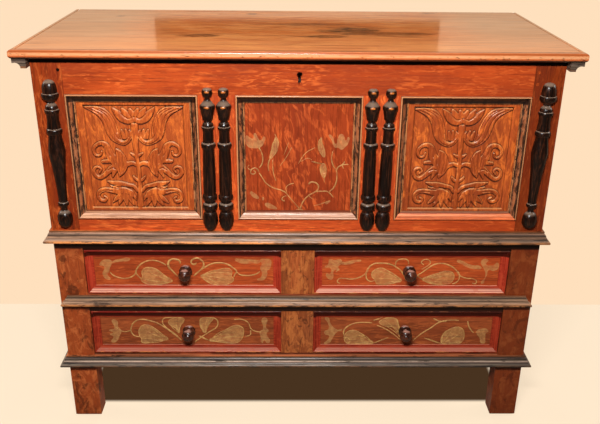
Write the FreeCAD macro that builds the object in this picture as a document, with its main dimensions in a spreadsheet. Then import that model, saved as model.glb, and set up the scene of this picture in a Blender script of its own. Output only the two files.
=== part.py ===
import FreeCAD, Part
import os
import Sketcher
from FreeCAD import Rotation, Vector

# Joined mule chest: framed and panelled chest over two drawers. X right, Y back, Z up, front faces -Y.

sizes = {
    # front frame, from the middle outwards
    "centre_panel_width": 274,
    "muntin_width": 81,
    "outer_panel_width": 282,
    "stile_width": 65,
    "case_depth": 515,
    # front frame, from the floor up
    "leg_height": 156,
    "bottom_rail_height": 33,
    "lower_drawer_height": 121,
    "drawer_rail_height": 46,
    "upper_drawer_height": 118,
    "middle_rail_height": 79,
    "panel_height": 290,
    "top_rail_height": 79,
    # frame stock and joints
    "stile_depth": 45,
    "rail_depth": 38,
    "side_rail_depth": 30,
    "foot_chamfer": 4,
    "tenon_setback": 13,
    "tenon_thickness": 12,
    "tenon_length": 40,
    "tenon_shoulder": 9,
    "tenon_web": 2,
    "side_tenon_setback": 9,
    "side_tenon_thickness": 10,
    "mortise_gap": 1,
    "peg_diameter": 7,
    "peg_inset": 8,
    "peg_spacing": 25,
    "peg_end": 5,
    # panels in their grooves
    "panel_recess": 9,
    "panel_thickness": 12,
    "tongue_thickness": 7,
    "groove_depth": 10,
    "panel_gap": 1,
    # moulding frames round the front panels
    "frame_moulding_width": 19,
    "frame_moulding_proud": 4,
    "frame_bead": 5,
    "frame_bead_swell": 1.6,
    "frame_quirk": 1.2,
    "frame_hollow": 1,
    "frame_inner_lip": 2.5,
    # mouldings across the case
    "waist_drop": 28,
    "waist_height": 28,
    "waist_projection": 18,
    "drawer_rail_moulding_drop": 2,
    "drawer_rail_moulding_height": 23,
    "drawer_rail_moulding_projection": 18,
    "base_rise": 2,
    "base_height": 26,
    "base_projection": 18,
    "moulding_nose": 7,
    "moulding_step": 2,
    "moulding_quirk": 1.5,
    "moulding_hollow": 1,
    "moulding_fillet": 3,
    "moulding_top": 5,
    "moulding_end_inset": 3,
    # corner spindles: heights and radii from the foot up
    "corner_spindle_gap": 8,
    "corner_spindle_rise": 35,
    "corner_spindle_inset": 35,
    "spindle_tip": 4,
    "spindle_neck": 7.4,
    "corner_drop_height": 49,
    "corner_drop_swell": 11,
    "corner_bead_height": 18,
    "corner_column_foot": 9.9,
    "corner_column_head": 17.4,
    "corner_shoulder_height": 48,
    "corner_shoulder_swell": 2.4,
    "corner_drum": 14,
    "corner_drum_height": 32,
    "corner_ring_height": 17,
    "corner_collar_height": 10,
    "corner_cove_height": 9,
    "corner_cup_height": 14,
    "corner_cup": 17.4,
    "corner_lip_height": 11,
    "corner_cap": 14.8,
    "corner_cap_height": 27,
    "corner_cap_swell": 3,
    # spindle pairs on the muntins: heights and radii from the foot up
    "muntin_spindle_gap": 2,
    "muntin_spindle_rise": 22,
    "muntin_spindle_spacing": 36,
    "muntin_drop_height": 49,
    "muntin_drop_swell": 8,
    "muntin_waist": 11,
    "muntin_ring_height": 19,
    "muntin_ring_swell": 4.6,
    "muntin_cove_height": 6,
    "muntin_cup_height": 13,
    "muntin_column_foot": 14.8,
    "muntin_column_head": 12.8,
    "muntin_band_height": 12,
    "muntin_step_height": 2,
    "muntin_shaft": 11.2,
    "muntin_shaft_height": 36,
    "muntin_collar_height": 9,
    "muntin_neck_height": 9,
    "muntin_vase_foot": 9.5,
    "muntin_vase": 15.6,
    "muntin_vase_height": 31,
    "muntin_vase_swell": 1.2,
    "muntin_vase_shoulder": 13,
    "muntin_ball_height": 27,
    "muntin_ball_swell": 7.5,
    "ring_swell": 2.2,
    # chest floor
    "floor_lift": 12,
    "floor_thickness": 12,
    "floor_groove": 8,
    # lid, its cleats and its wooden pivots
    "lid_thickness": 19,
    "lid_side_overhang": 34,
    "lid_front_overhang": 27,
    "lid_top_round": 6,
    "lid_under_round": 8,
    "lid_groove_inset": 11,
    "lid_groove_width": 2.5,
    "lid_groove_depth": 1.5,
    "cleat_gap": 1,
    "cleat_edge_gap": 4,
    "cleat_front_gap": 7,
    "cleat_height": 20,
    "cleat_lip": 9,
    "cleat_foot_width": 12,
    "cleat_toe": 3,
    "cleat_hollow": 3.5,
    "pivot_setback": 10,
    "lid_swing_gap": 1,
    "pin_diameter": 9,
    "pin_fit": 0.2,
    "pin_depth": 20,
    "pin_seat": 10,
    # drawers and their runners
    "drawer_recess": 9,
    "drawer_gap": 1.5,
    "drawer_front_thickness": 22,
    "drawer_lap": 12,
    "drawer_side_thickness": 18,
    "drawer_side_drop": 12,
    "drawer_back_thickness": 14,
    "drawer_bottom_thickness": 9,
    "drawer_rear_gap": 12,
    "runner_height": 18,
    "runner_fit": 1,
    "runner_groove": 10,
    "runner_seat": 12,
    "plaque_width": 78,
    "knob_spacing": 530,
    "knob_length": 38,
    "knob_stem": 6,
    "knob_collar": 15.5,
    "knob_collar_height": 8,
    "knob_round": 2,
    "knob_neck": 8,
    "knob_neck_height": 4,
    "knob_head_swell": 7,
    "knob_nipple": 5,
    "knob_nipple_height": 5,
    "knob_nipple_hollow": 1,
    # lock
    "keyhole_drop": 35,
    "keyhole_radius": 6.3,
    "keyhole_slot_width": 6,
    "keyhole_slot_length": 21,
    "lock_width": 96,
    "lock_height": 62,
    "lock_depth": 15,
    "lock_wall": 2,
    "lock_top_gap": 8,
    "key_pin_radius": 2.2,
    "bolt_length": 36,
    "bolt_height": 8,
    "bolt_thickness": 5,
    "bolt_drop": 4,
    "bolt_clear": 2,
    "bolt_fit": 0.4,
    "staple_thickness": 4,
    "staple_rim": 2.5,
    "staple_plate": 2,
    "staple_plate_margin": 12,
    "staple_gap": 1.5,
}

doc = FreeCAD.newDocument("mule_chest")
sheet = doc.addObject("Spreadsheet::Sheet", "sizes")
for row, (alias, number) in enumerate(sizes.items(), start=1):
    sheet.set(f"A{row}", alias)
    sheet.set(f"B{row}", str(number))
    sheet.setAlias(f"B{row}", alias)
doc.recompute()


class Size:
    # a length with its value and the sheet expression that gives it

    def __init__(self, value, text):
        self.value = value
        self.text = text

    def __add__(self, other):
        other = asSize(other)
        return Size(self.value + other.value, f"({self.text} + {other.text})")

    def __sub__(self, other):
        other = asSize(other)
        return Size(self.value - other.value, f"({self.text} - {other.text})")

    def __mul__(self, other):
        other = asSize(other)
        return Size(self.value * other.value, f"({self.text} * {other.text})")

    def __truediv__(self, other):
        other = asSize(other)
        return Size(self.value / other.value, f"({self.text} / {other.text})")

    def __neg__(self):
        return Size(-self.value, f"(-1 * {self.text})")

    def __radd__(self, other):
        return asSize(other) + self

    def __rsub__(self, other):
        return asSize(other) - self

    def __rmul__(self, other):
        return asSize(other) * self


def asSize(number):
    if isinstance(number, Size):
        return number
    return Size(number, f"({number})")


def cell(alias):
    return Size(sizes[alias], f"sizes.{alias}")


def bind(item, field, size):
    item.setExpression(field, asSize(size).text)


def place(item, x, y, z, rotation=None):
    if rotation:
        item.Placement = FreeCAD.Placement(Vector(0, 0, 0), rotation)
    bind(item, "Placement.Base.x", x)
    bind(item, "Placement.Base.y", y)
    bind(item, "Placement.Base.z", z)
    return item


def block(x, y, z):
    box = doc.addObject("Part::Box", "block")
    bind(box, "Length", x[1] - x[0])
    bind(box, "Width", y[1] - y[0])
    bind(box, "Height", z[1] - z[0])
    return place(box, x[0], y[0], z[0])


def rod(radius, length, x, y, z, rotation=None):
    cylinder = doc.addObject("Part::Cylinder", "rod")
    bind(cylinder, "Radius", radius)
    bind(cylinder, "Height", length)
    return place(cylinder, x, y, z, rotation)


def join(solids):
    if len(solids) == 1:
        return solids[0]
    union = doc.addObject("Part::MultiFuse", "union")
    union.Shapes = solids
    return union


def carve(solid, tools):
    if not tools:
        return solid
    cut = doc.addObject("Part::Cut", "carved")
    cut.Base = solid
    cut.Tool = join(tools)
    return cut


def common(first, second):
    overlap = doc.addObject("Part::Common", "overlap")
    overlap.Base = first
    overlap.Tool = second
    return overlap


def group(solids):
    bundle = doc.addObject("Part::Compound", "group")
    bundle.Links = solids
    return bundle


nodes = []


def node(label, item):
    item.Label = label
    nodes.append(item)
    return item


# Outlines: points (x, y) or (x, y, swell), where swell bows the edge to the next point outwards.

def drawOutline(sketch, points):
    corners = [(asSize(point[0]), asSize(point[1])) for point in points]
    swells = [asSize(point[2]) if len(point) > 2 else None for point in points]
    count = len(corners)
    edges = [(i, (i + 1) % count, swells[i]) for i in range(count)]
    area = sum(corners[i][0].value * corners[j][1].value - corners[j][0].value * corners[i][1].value
               for i, j, swell in edges)
    if area < 0:
        edges = [(j, i, swell) for i, j, swell in reversed(edges)]

    ends = []
    for index, (i, j, swell) in enumerate(edges):
        start = Vector(corners[i][0].value, corners[i][1].value, 0)
        end = Vector(corners[j][0].value, corners[j][1].value, 0)
        if swell is None:
            sketch.addGeometry(Part.LineSegment(start, end))
            ends.append((1, 2))
            continue
        across = end - start
        outward = Vector(across.y, -across.x, 0).normalize()
        middle = (start + end) * 0.5 + outward * swell.value
        if swell.value > 0:
            sketch.addGeometry(Part.Arc(start, middle, end))
            ends.append((1, 2))
        else:
            sketch.addGeometry(Part.Arc(end, middle, start))
            ends.append((2, 1))

    rules = [Sketcher.Constraint("Coincident", index - 1 if index else count - 1, ends[index - 1][1],
                                 index, ends[index][0]) for index in range(count)]
    bound = {}

    def rule(name, size, kind, *where):
        constraint = Sketcher.Constraint(kind, *where, float(size.value))
        constraint.Name = name
        rules.append(constraint)
        bound[name] = size

    for index, (i, j, swell) in enumerate(edges):
        rule(f"x{index}", corners[i][0], "DistanceX", -1, 1, index, ends[index][0])
        rule(f"y{index}", corners[i][1], "DistanceY", -1, 1, index, ends[index][0])
        if swell is not None:
            run = corners[j][0] - corners[i][0]
            rise = corners[j][1] - corners[i][1]
            bow = swell if swell.value > 0 else -swell
            rule(f"bow{index}", (run * run + rise * rise + 4 * bow * bow) / (8 * bow), "Radius", index)
    sketch.addConstraint(rules)
    for name, size in bound.items():
        bind(sketch, f"Constraints.{name}", size)


def bodySketch(body, role, points):
    sketch = body.newObject("Sketcher::SketchObject", "outline")
    plane = next(item for item in body.Origin.OriginFeatures if item.Role == role)
    sketch.AttachmentSupport = [(plane, "")]
    sketch.MapMode = "FlatFace"
    drawOutline(sketch, points)
    return sketch


def edgesWhere(feature, test):
    return [f"Edge{index}" for index, edge in enumerate(feature.Shape.Edges, start=1) if test(edge.BoundBox)]


def board(x, y, z):
    # a sawn piece as a body, ready for rounded or chamfered edges
    body = doc.addObject("PartDesign::Body", "board")
    length = x[1] - x[0]
    width = y[1] - y[0]
    pad = body.newObject("PartDesign::Pad", "pad")
    pad.Profile = bodySketch(body, "XY_Plane", [(0, 0), (length, 0), (length, width), (0, width)])
    bind(pad, "Length", z[1] - z[0])
    return place(body, x[0], y[0], z[0])


def dress(body, kind, field, size, test):
    # kind is Fillet or Chamfer, on the edges whose bounding box passes the test
    body.recompute(True)
    base = body.Tip
    feature = body.newObject(f"PartDesign::{kind}", kind.lower())
    feature.Base = (base, edgesWhere(base, test))
    bind(feature, field, size)
    body.Tip = feature
    return body


def turned(points, angle, x, y, z, rotation=None):
    # a lathe-turned piece: points are (radius, height) up the outside, starting and ending on the axis
    body = doc.addObject("PartDesign::Body", "turning")
    lathe = body.newObject("PartDesign::Revolution", "revolution")
    lathe.Profile = bodySketch(body, "XZ_Plane", points)
    lathe.ReferenceAxis = (lathe.Profile[0], ["V_Axis"])
    lathe.Angle = angle
    lathe.Reversed = True
    return place(body, x, y, z, rotation)


# Moulded lengths: the outline lies in local x and y (y stands out), and the length runs along local z.

facing = {
    "front": Rotation(Vector(0, 0, 1), Vector(0, -1, 0), Vector(1, 0, 0), "XYZ"),
    "left": Rotation(Vector(0, 0, 1), Vector(-1, 0, 0), Vector(0, -1, 0), "XYZ"),
    "right": Rotation(Vector(0, 0, 1), Vector(1, 0, 0), Vector(0, 1, 0), "XYZ"),
}
member = {
    "bottom": Rotation(Vector(0, -1, 0), Vector(0, 0, 1), Vector(-1, 0, 0), "XYZ"),
    "top": Rotation(Vector(0, -1, 0), Vector(0, 0, -1), Vector(1, 0, 0), "XYZ"),
    "left": Rotation(Vector(0, -1, 0), Vector(1, 0, 0), Vector(0, 0, 1), "XYZ"),
    "right": Rotation(Vector(0, -1, 0), Vector(-1, 0, 0), Vector(0, 0, -1), "XYZ"),
}


def strip(points, length, span, reach, start_lean, end_lean, x, y, z, rotation):
    # each end leans in by its lean for every unit of local y: 1 and -1 are mitres, 0 is square
    sketch = doc.addObject("Sketcher::SketchObject", "profile")
    drawOutline(sketch, points)
    run = doc.addObject("Part::Extrusion", "run")
    run.Base = sketch
    run.DirMode = "Custom"
    run.Dir = Vector(0, 0, 1)
    run.Solid = True
    bind(run, "LengthFwd", length + reach)
    bind(run, "LengthRev", reach)

    ends = doc.addObject("Part::Wedge", "ends")
    bind(ends, "Xmin", span[0])
    bind(ends, "X2min", span[0])
    bind(ends, "Xmax", span[1])
    bind(ends, "X2max", span[1])
    bind(ends, "Ymin", 0)
    bind(ends, "Ymax", reach)
    bind(ends, "Zmin", 0)
    bind(ends, "Zmax", length)
    bind(ends, "Z2min", start_lean * reach)
    bind(ends, "Z2max", length - end_lean * reach)
    return place(common(run, ends), x, y, z, rotation)


# Planes of the case

gap = cell("drawer_gap")
stile_width = cell("stile_width")
centre_edge = cell("centre_panel_width") / 2
outer_edge = centre_edge + cell("muntin_width")
stile_inner = outer_edge + cell("outer_panel_width")
half_width = stile_inner + stile_width

knob_out = cell("knob_length") - cell("drawer_recess")
front = (knob_out - cell("case_depth")) / 2
back = front + cell("case_depth")
front_stile_back = front + cell("stile_depth")
rear_stile_front = back - cell("stile_depth")

bottom_rail_bottom = cell("leg_height")
lower_opening = bottom_rail_bottom + cell("bottom_rail_height")
drawer_rail_bottom = lower_opening + cell("lower_drawer_height")
upper_opening = drawer_rail_bottom + cell("drawer_rail_height")
middle_rail_bottom = upper_opening + cell("upper_drawer_height")
panel_bottom = middle_rail_bottom + cell("middle_rail_height")
panel_top = panel_bottom + cell("panel_height")
case_top = panel_top + cell("top_rail_height")

pivot_y = back - cell("pivot_setback")
rear_top = case_top - cell("lid_swing_gap")
pivot_z = rear_top - cell("pivot_setback")
rail_inner_back = back - cell("rail_depth")

rail_spans = {
    "top": (panel_top, case_top),
    "middle": (middle_rail_bottom, panel_bottom),
    "drawer": (drawer_rail_bottom, upper_opening),
    "bottom": (bottom_rail_bottom, lower_opening),
}
signs = {"left": -1, "right": 1}


def mirrored(sign, span):
    return span if sign > 0 else (-span[1], -span[0])


def into(face, way, near, far):
    # a span measured inwards from a face of the case; way is 1 where inwards is the positive direction
    return (face + near, face + far) if way > 0 else (face - far, face - near)


def widened(span, extra):
    return (span[0] - extra, span[1] + extra)


def slab(axis, depth, along, height):
    # axis is the direction that the face looks along: "x" for the sides, "y" for front and rear
    return block(depth, along, height) if axis == "x" else block(along, depth, height)


def panel(axis, face, way, along, height):
    # a panel with its good side level and its back edges rebated to a tongue
    recess = cell("panel_recess")
    tongue_depth = into(face, way, recess, recess + cell("tongue_thickness"))
    field_depth = into(face, way, recess, recess + cell("panel_thickness"))
    reach = cell("groove_depth") - cell("panel_gap")
    tongue = slab(axis, tongue_depth, widened(along, reach), widened(height, reach))
    field = slab(axis, field_depth, widened(along, -cell("panel_gap")), widened(height, -cell("panel_gap")))
    return join([tongue, field])


def panelGroove(axis, face, way, along, height):
    recess = cell("panel_recess")
    depth = into(face, way, recess, recess + cell("tongue_thickness"))
    reach = cell("groove_depth")
    return slab(axis, depth, widened(along, reach), widened(height, reach))


# Joints of the frame: tenons, their mortises and the drawbore pegs

def tenonDepth(axis, face, way):
    kind = "tenon" if axis == "y" else "side_tenon"
    setback = cell(f"{kind}_setback")
    return into(face, way, setback, setback + cell(f"{kind}_thickness"))


def tenonLength(axis):
    if axis == "y":
        return cell("tenon_length")
    return cell("stile_depth") - cell("tenon_setback") - cell("tenon_thickness") - cell("tenon_web")


def tenonBlock(axis, face, way, end, sign, height, extra=0):
    depth = tenonDepth(axis, face, way)
    length = tenonLength(axis) + extra
    span = (end, end + length) if sign > 0 else (end - length, end)
    shoulder = cell("tenon_shoulder")
    return slab(axis, depth, span, (height[0] + shoulder, height[1] - shoulder))


peg_turn = {
    ("y", 1): Rotation(Vector(1, 0, 0), -90),
    ("y", -1): Rotation(Vector(1, 0, 0), 90),
    ("x", 1): Rotation(Vector(0, 1, 0), 90),
    ("x", -1): Rotation(Vector(0, 1, 0), -90),
}


def peg(axis, face, way, end, sign, z):
    across = end + sign * (cell("peg_inset") if axis == "y" else tenonLength("x") / 2)
    depth = tenonDepth(axis, face, way)
    length = cell("peg_end") + (depth[1] - face if way > 0 else face - depth[0])
    x, y = (face, across) if axis == "x" else (across, face)
    return rod(cell("peg_diameter") / 2, length, x, y, z, peg_turn[axis, way])


def pegHeights(height, pair):
    middle = (height[0] + height[1]) / 2
    if not pair:
        return [middle]
    return [middle - cell("peg_spacing") / 2, middle + cell("peg_spacing") / 2]


frame_sides = {
    # name: axis, outer face, inward way, rail depth, the two ends of the rails, names of their stiles
    "front": ("y", front, 1, cell("rail_depth"), (-stile_inner, stile_inner), ("front_left", "front_right")),
    "rear": ("y", back, -1, cell("rail_depth"), (-stile_inner, stile_inner), ("rear_left", "rear_right")),
    "left": ("x", -half_width, 1, cell("side_rail_depth"), (front_stile_back, rear_stile_front),
             ("front_left", "rear_left")),
    "right": ("x", half_width, -1, cell("side_rail_depth"), (front_stile_back, rear_stile_front),
              ("front_right", "rear_right")),
}
side_rail_names = {"front": ["top", "middle", "drawer", "bottom"]}
stile_cuts = {"front_left": [], "front_right": [], "rear_left": [], "rear_right": []}
rails = {}
pegs = []

for side, (axis, face, way, depth, ends, stiles) in frame_sides.items():
    for name in side_rail_names.get(side, ["top", "middle", "bottom"]):
        height = rail_spans[name]
        cuts = []
        parts = []
        if side == "rear" and name == "top":
            height = (panel_top, rear_top)
            parts.append(board(ends, into(face, way, 0, depth), height))
            rear_arris = parts[0]
        else:
            parts.append(slab(axis, into(face, way, 0, depth), ends, height))
        for end, sign, stile in zip(ends, (-1, 1), stiles):
            parts.append(tenonBlock(axis, face, way, end, sign, height))
            stile_cuts[stile].append(tenonBlock(axis, face, way, end, sign, height, cell("mortise_gap")))
            for z in pegHeights(height, name in ("top", "middle")):
                pegs.append(peg(axis, face, way, end, sign, z))
                cuts.append(peg(axis, face, way, end, sign, z))
                stile_cuts[stile].append(peg(axis, face, way, end, sign, z))
        rails[side, name] = [join(parts), cuts]

node("joint_pegs", group(pegs))


# Panels and the grooves that hold them

upper_span = (panel_bottom, panel_top)
lower_span = (lower_opening, middle_rail_bottom)
front_bays = {
    "left": (-stile_inner, -outer_edge),
    "centre": (-centre_edge, centre_edge),
    "right": (outer_edge, stile_inner),
}
front_panels = {"left": "carved_panel_left", "centre": "painted_panel_centre", "right": "carved_panel_right"}
muntin_cuts = {"left": [], "right": []}

for bay, along in front_bays.items():
    node(front_panels[bay], panel("y", front, 1, along, upper_span))
    for name in ("top", "middle"):
        rails["front", name][1].append(panelGroove("y", front, 1, along, upper_span))
    for side in ("left", "right"):
        if bay in (side, "centre"):
            muntin_cuts[side].append(panelGroove("y", front, 1, along, upper_span))
        if bay == side:
            stile_cuts[f"front_{side}"].append(panelGroove("y", front, 1, along, upper_span))

hidden_panels = {"left": [], "right": [], "rear": []}
for side in hidden_panels:
    axis, face, way, depth, ends, stiles = frame_sides[side]
    for height, rail_pair in ((upper_span, ("top", "middle")), (lower_span, ("middle", "bottom"))):
        hidden_panels[side].append(panel(axis, face, way, ends, height))
        for name in rail_pair:
            rails[side, name][1].append(panelGroove(axis, face, way, ends, height))
        for stile in stiles:
            stile_cuts[stile].append(panelGroove(axis, face, way, ends, height))
node("rear_panels", group(hidden_panels["rear"]))
node("side_panels_left", group(hidden_panels["left"]))
node("side_panels_right", group(hidden_panels["right"]))

# Muntins, tenoned into the top and middle rails

for side, sign in signs.items():
    along = mirrored(sign, (centre_edge, outer_edge))
    inner = widened(along, -cell("groove_depth") - cell("panel_gap"))
    tenon_depth = tenonDepth("y", front, 1)
    reach = cell("tenon_length") - cell("tenon_shoulder")
    gapped = reach + cell("mortise_gap")
    bar = block(along, into(front, 1, 0, cell("rail_depth")), upper_span)
    tenon = block(inner, tenon_depth, widened(upper_span, reach))
    node(f"front_muntin_{side}", carve(join([bar, tenon]), muntin_cuts[side]))
    rails["front", "top"][1].append(block(inner, tenon_depth, (panel_top, panel_top + gapped)))
    rails["front", "middle"][1].append(block(inner, tenon_depth, (panel_bottom - gapped, panel_bottom)))


# Chest floor: boards from front to back in a groove round the middle rails

floor_bottom = middle_rail_bottom + cell("floor_lift")
floor_top = floor_bottom + cell("floor_thickness")
floor_groove = cell("floor_groove")
floor_y = (front + cell("rail_depth") - floor_groove, back - cell("rail_depth") + floor_groove)
floor_x = half_width - cell("side_rail_depth") + floor_groove
floor_z = (floor_bottom, floor_top)


def floorPlate():
    middle = block((-stile_inner, stile_inner), floor_y, floor_z)
    wings = block((-floor_x, floor_x), (front_stile_back, rear_stile_front), floor_z)
    return join([middle, wings])


floor_boards = []
floor_count = 5
for index in range(floor_count):
    left = floor_x * (2 * index / floor_count - 1)
    right = floor_x * (2 * (index + 1) / floor_count - 1)
    floor_boards.append(common(floorPlate(), block((left, right), floor_y, floor_z)))
node("chest_floor", group(floor_boards))
for side in frame_sides:
    rails[side, "middle"][1].append(floorPlate())


# Lock: keyhole in the top rail, iron case let into the back of the rail, sliding bolt and lid staple

rail_back = front + cell("rail_depth")
wall = cell("lock_wall")
bolt_fit = cell("bolt_fit")
lock_x = (-cell("lock_width") / 2, cell("lock_width") / 2)
lock_y = (rail_back - cell("lock_depth"), rail_back)
lock_z = (case_top - cell("lock_top_gap") - cell("lock_height"), case_top - cell("lock_top_gap"))
inner_x = widened(lock_x, -wall)
inner_y = (lock_y[0], lock_y[1] - wall)
inner_z = widened(lock_z, -wall)
keyhole_z = case_top - cell("keyhole_drop")

works_y = (inner_y[0] + inner_y[1]) / 2
staple_x = (-cell("staple_thickness") / 2, cell("staple_thickness") / 2)
bolt_end = staple_x[0] - cell("bolt_clear")
bolt_x = (bolt_end - cell("bolt_length"), bolt_end)
bolt_y = (works_y - cell("bolt_thickness") / 2, works_y + cell("bolt_thickness") / 2)
bolt_z = (inner_z[1] - cell("bolt_drop") - cell("bolt_height"), inner_z[1] - cell("bolt_drop"))
window_y = widened(bolt_y, bolt_fit)
window_z = widened(bolt_z, bolt_fit)
staple_y = widened(window_y, cell("staple_rim"))
staple_z = (window_z[0] - cell("staple_rim"), case_top)
slot_x = widened(staple_x, cell("staple_gap"))
slot_y = widened(staple_y, cell("staple_gap"))
slot_z = (inner_z[1], case_top)

shelf_z = (bolt_z[0] - wall, bolt_z[0])
shelf_gap = slot_x[1] + bolt_fit
shelf_x = (shelf_gap, inner_x[1])
shelves = [block(mirrored(sign, shelf_x), inner_y, shelf_z) for sign in (-1, 1)]
key_pin = rod(cell("key_pin_radius"), inner_y[1] - inner_y[0], 0, inner_y[1], keyhole_z, peg_turn["y", -1])
shell = carve(block(lock_x, lock_y, lock_z),
              [block(inner_x, inner_y, inner_z), block(slot_x, slot_y, slot_z)])
node("lock_case", join([shell, key_pin] + shelves))
node("lock_bolt", block(bolt_x, bolt_y, bolt_z))

keyhole_x = (-cell("keyhole_slot_width") / 2, cell("keyhole_slot_width") / 2)
rails["front", "top"][1].extend([
    block(lock_x, lock_y, lock_z),
    block(slot_x, slot_y, (lock_z[1], case_top)),
    rod(cell("keyhole_radius"), lock_y[0] - front, 0, front, keyhole_z, peg_turn["y", 1]),
    block(keyhole_x, (front, lock_y[0]), (keyhole_z - cell("keyhole_slot_length"), keyhole_z)),
])

plate_x = widened(staple_x, cell("staple_plate_margin"))
plate_z = (case_top, case_top + cell("staple_plate"))
staple_window = block(staple_x, window_y, window_z)
node("lid_staple", join([carve(block(staple_x, staple_y, staple_z), [staple_window]),
                         block(plate_x, staple_y, plate_z)]))


# Stiles: the feet are chamfered, and the rear ones are rounded over where the lid swings

def atFoot(box):
    return box.ZMax < 0.01


def atRearTop(box):
    return box.ZMin > 0 and box.ZLength < 0.01 and box.YLength < 0.01 and box.YMin > 0.01


stile_y = {"front": (front, front_stile_back), "rear": (rear_stile_front, back)}
stile_top = {"front": case_top, "rear": rear_top}
for row in ("front", "rear"):
    for side, sign in signs.items():
        stile = board(mirrored(sign, (stile_inner, half_width)), stile_y[row], (0, stile_top[row]))
        dress(stile, "Chamfer", "Size", cell("foot_chamfer"), atFoot)
        cuts = stile_cuts[f"{row}_{side}"]
        if row == "rear":
            dress(stile, "Fillet", "Radius", cell("pivot_setback"), atRearTop)
            bore = (cell("pin_diameter") + cell("pin_fit")) / 2
            bore_depth = cell("pin_depth") + cell("mortise_gap")
            cuts.append(rod(bore, bore_depth, sign * half_width, pivot_y, pivot_z, peg_turn["x", -sign]))
        node(f"{row}_stile_{side}", carve(stile, cuts))

dress(rear_arris, "Fillet", "Radius", cell("pivot_setback"), atRearTop)
for name in side_rail_names["front"]:
    node(f"front_{name}_rail", carve(*rails["front", name]))
for side in ("left", "right"):
    node(f"side_rails_{side}", group([carve(*rails[side, name]) for name in ("top", "middle", "bottom")]))
node("rear_rails", group([carve(*rails["rear", name]) for name in ("top", "middle", "bottom")]))


# Mitred moulding frames round the panels and the drawer fields

def frameOutline(top):
    # x stands out from the panel, y runs from the outer edge to the inner edge
    width = cell("frame_moulding_width")
    swell = cell("frame_bead_swell")
    bead = cell("frame_bead")
    lip = cell("frame_inner_lip")
    crest = top - swell
    return [
        (0, 0),
        (crest, 0, swell),
        (crest, bead),
        (crest - cell("frame_quirk"), bead, -cell("frame_hollow")),
        (lip, width - lip),
        (lip, width),
        (0, width),
    ]


def frame(x, face, z, top):
    outline = frameOutline(top)
    width = cell("frame_moulding_width")
    across = x[1] - x[0]
    height = z[1] - z[0]
    stand = (0, top)
    return [
        strip(outline, across, stand, width, 1, 1, x[1], face, z[0], member["bottom"]),
        strip(outline, across, stand, width, 1, 1, x[0], face, z[1], member["top"]),
        strip(outline, height, stand, width, 1, 1, x[0], face, z[0], member["left"]),
        strip(outline, height, stand, width, 1, 1, x[1], face, z[1], member["right"]),
    ]


panel_face = front + cell("panel_recess")
for bay, along in front_bays.items():
    lengths = frame(along, panel_face, upper_span, cell("panel_recess") + cell("frame_moulding_proud"))
    node(f"panel_moulding_{bay}", group(lengths))


# Mouldings across the case

def caseOutline(height, projection):
    # x runs up from the underside, y stands out from the case
    nose = cell("moulding_nose")
    step = cell("moulding_step")
    quirk = cell("moulding_quirk")
    fillet = cell("moulding_fillet")
    top_out = cell("moulding_top")
    out = projection - step
    middle = (out + top_out) / 2
    band = (height - nose - fillet - 2 * quirk) / 2
    return [
        (0, 0),
        (0, out, step),
        (nose, out),
        (nose, out - quirk, -cell("moulding_hollow")),
        (nose + band, middle),
        (nose + band, middle - quirk),
        (nose + band + quirk, middle - quirk, cell("moulding_hollow")),
        (height - fillet - quirk, top_out),
        (height - fillet - quirk, top_out - quirk),
        (height - fillet, top_out - quirk),
        (height - fillet, top_out),
        (height, top_out),
        (height, 0),
    ]


def wrappedMoulding(bottom, height, projection):
    outline = caseOutline(height, projection)
    span = (0, height)
    depth = cell("case_depth")
    return [
        strip(outline, 2 * half_width, span, projection, -1, -1, -half_width, front, bottom, facing["front"]),
        strip(outline, depth, span, projection, 0, -1, -half_width, back, bottom, facing["left"]),
        strip(outline, depth, span, projection, -1, 0, half_width, front, bottom, facing["right"]),
    ]


def hippedMoulding(bottom, height, projection, half_length):
    # the profile also turns back to the case at each end
    outline = caseOutline(height, projection)
    span = (0, height)
    shoulder = half_length - projection
    z = (bottom, bottom + height)
    length = 2 * half_length
    run = strip(outline, length, span, projection, 0, 0, -half_length, front, bottom, facing["front"])
    left = strip(outline, projection, span, projection, 0, 0, -shoulder, front, bottom, facing["left"])
    nose = front - projection
    right = strip(outline, projection, span, projection, 0, 0, shoulder, nose, bottom, facing["right"])
    middle = block((-shoulder, shoulder), (nose, front), z)
    return common(run, join([left, middle, right]))


waist_top = panel_bottom - cell("waist_drop")
waist_bottom = waist_top - cell("waist_height")
node("waist_moulding", group(wrappedMoulding(waist_bottom, cell("waist_height"), cell("waist_projection"))))
base_bottom = bottom_rail_bottom + cell("base_rise")
node("base_moulding", group(wrappedMoulding(base_bottom, cell("base_height"), cell("base_projection"))))
rail_moulding_top = upper_opening - cell("drawer_rail_moulding_drop")
rail_moulding_height = cell("drawer_rail_moulding_height")
node("drawer_rail_moulding", hippedMoulding(
    rail_moulding_top - rail_moulding_height, rail_moulding_height,
    cell("drawer_rail_moulding_projection"), half_width - cell("moulding_end_inset")))


# Split spindles, turned whole and halved, glued to the stiles and muntins

def spindleOutline(total, steps):
    # steps are (radius, rise, swell), each from the last point; the rise of None takes what is left
    points = [(0, 0), (cell("spindle_tip"), 0)]
    rest = total
    for radius, rise, swell in steps:
        rest = rest if rise is None else rest - rise
    height = asSize(0)
    for radius, rise, swell in steps:
        if swell is not None:
            points[-1] = points[-1][:2] + (swell,)
        height = height + (rest if rise is None else rise)
        points.append((radius, height))
    points.append((0, height))
    return points


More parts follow.
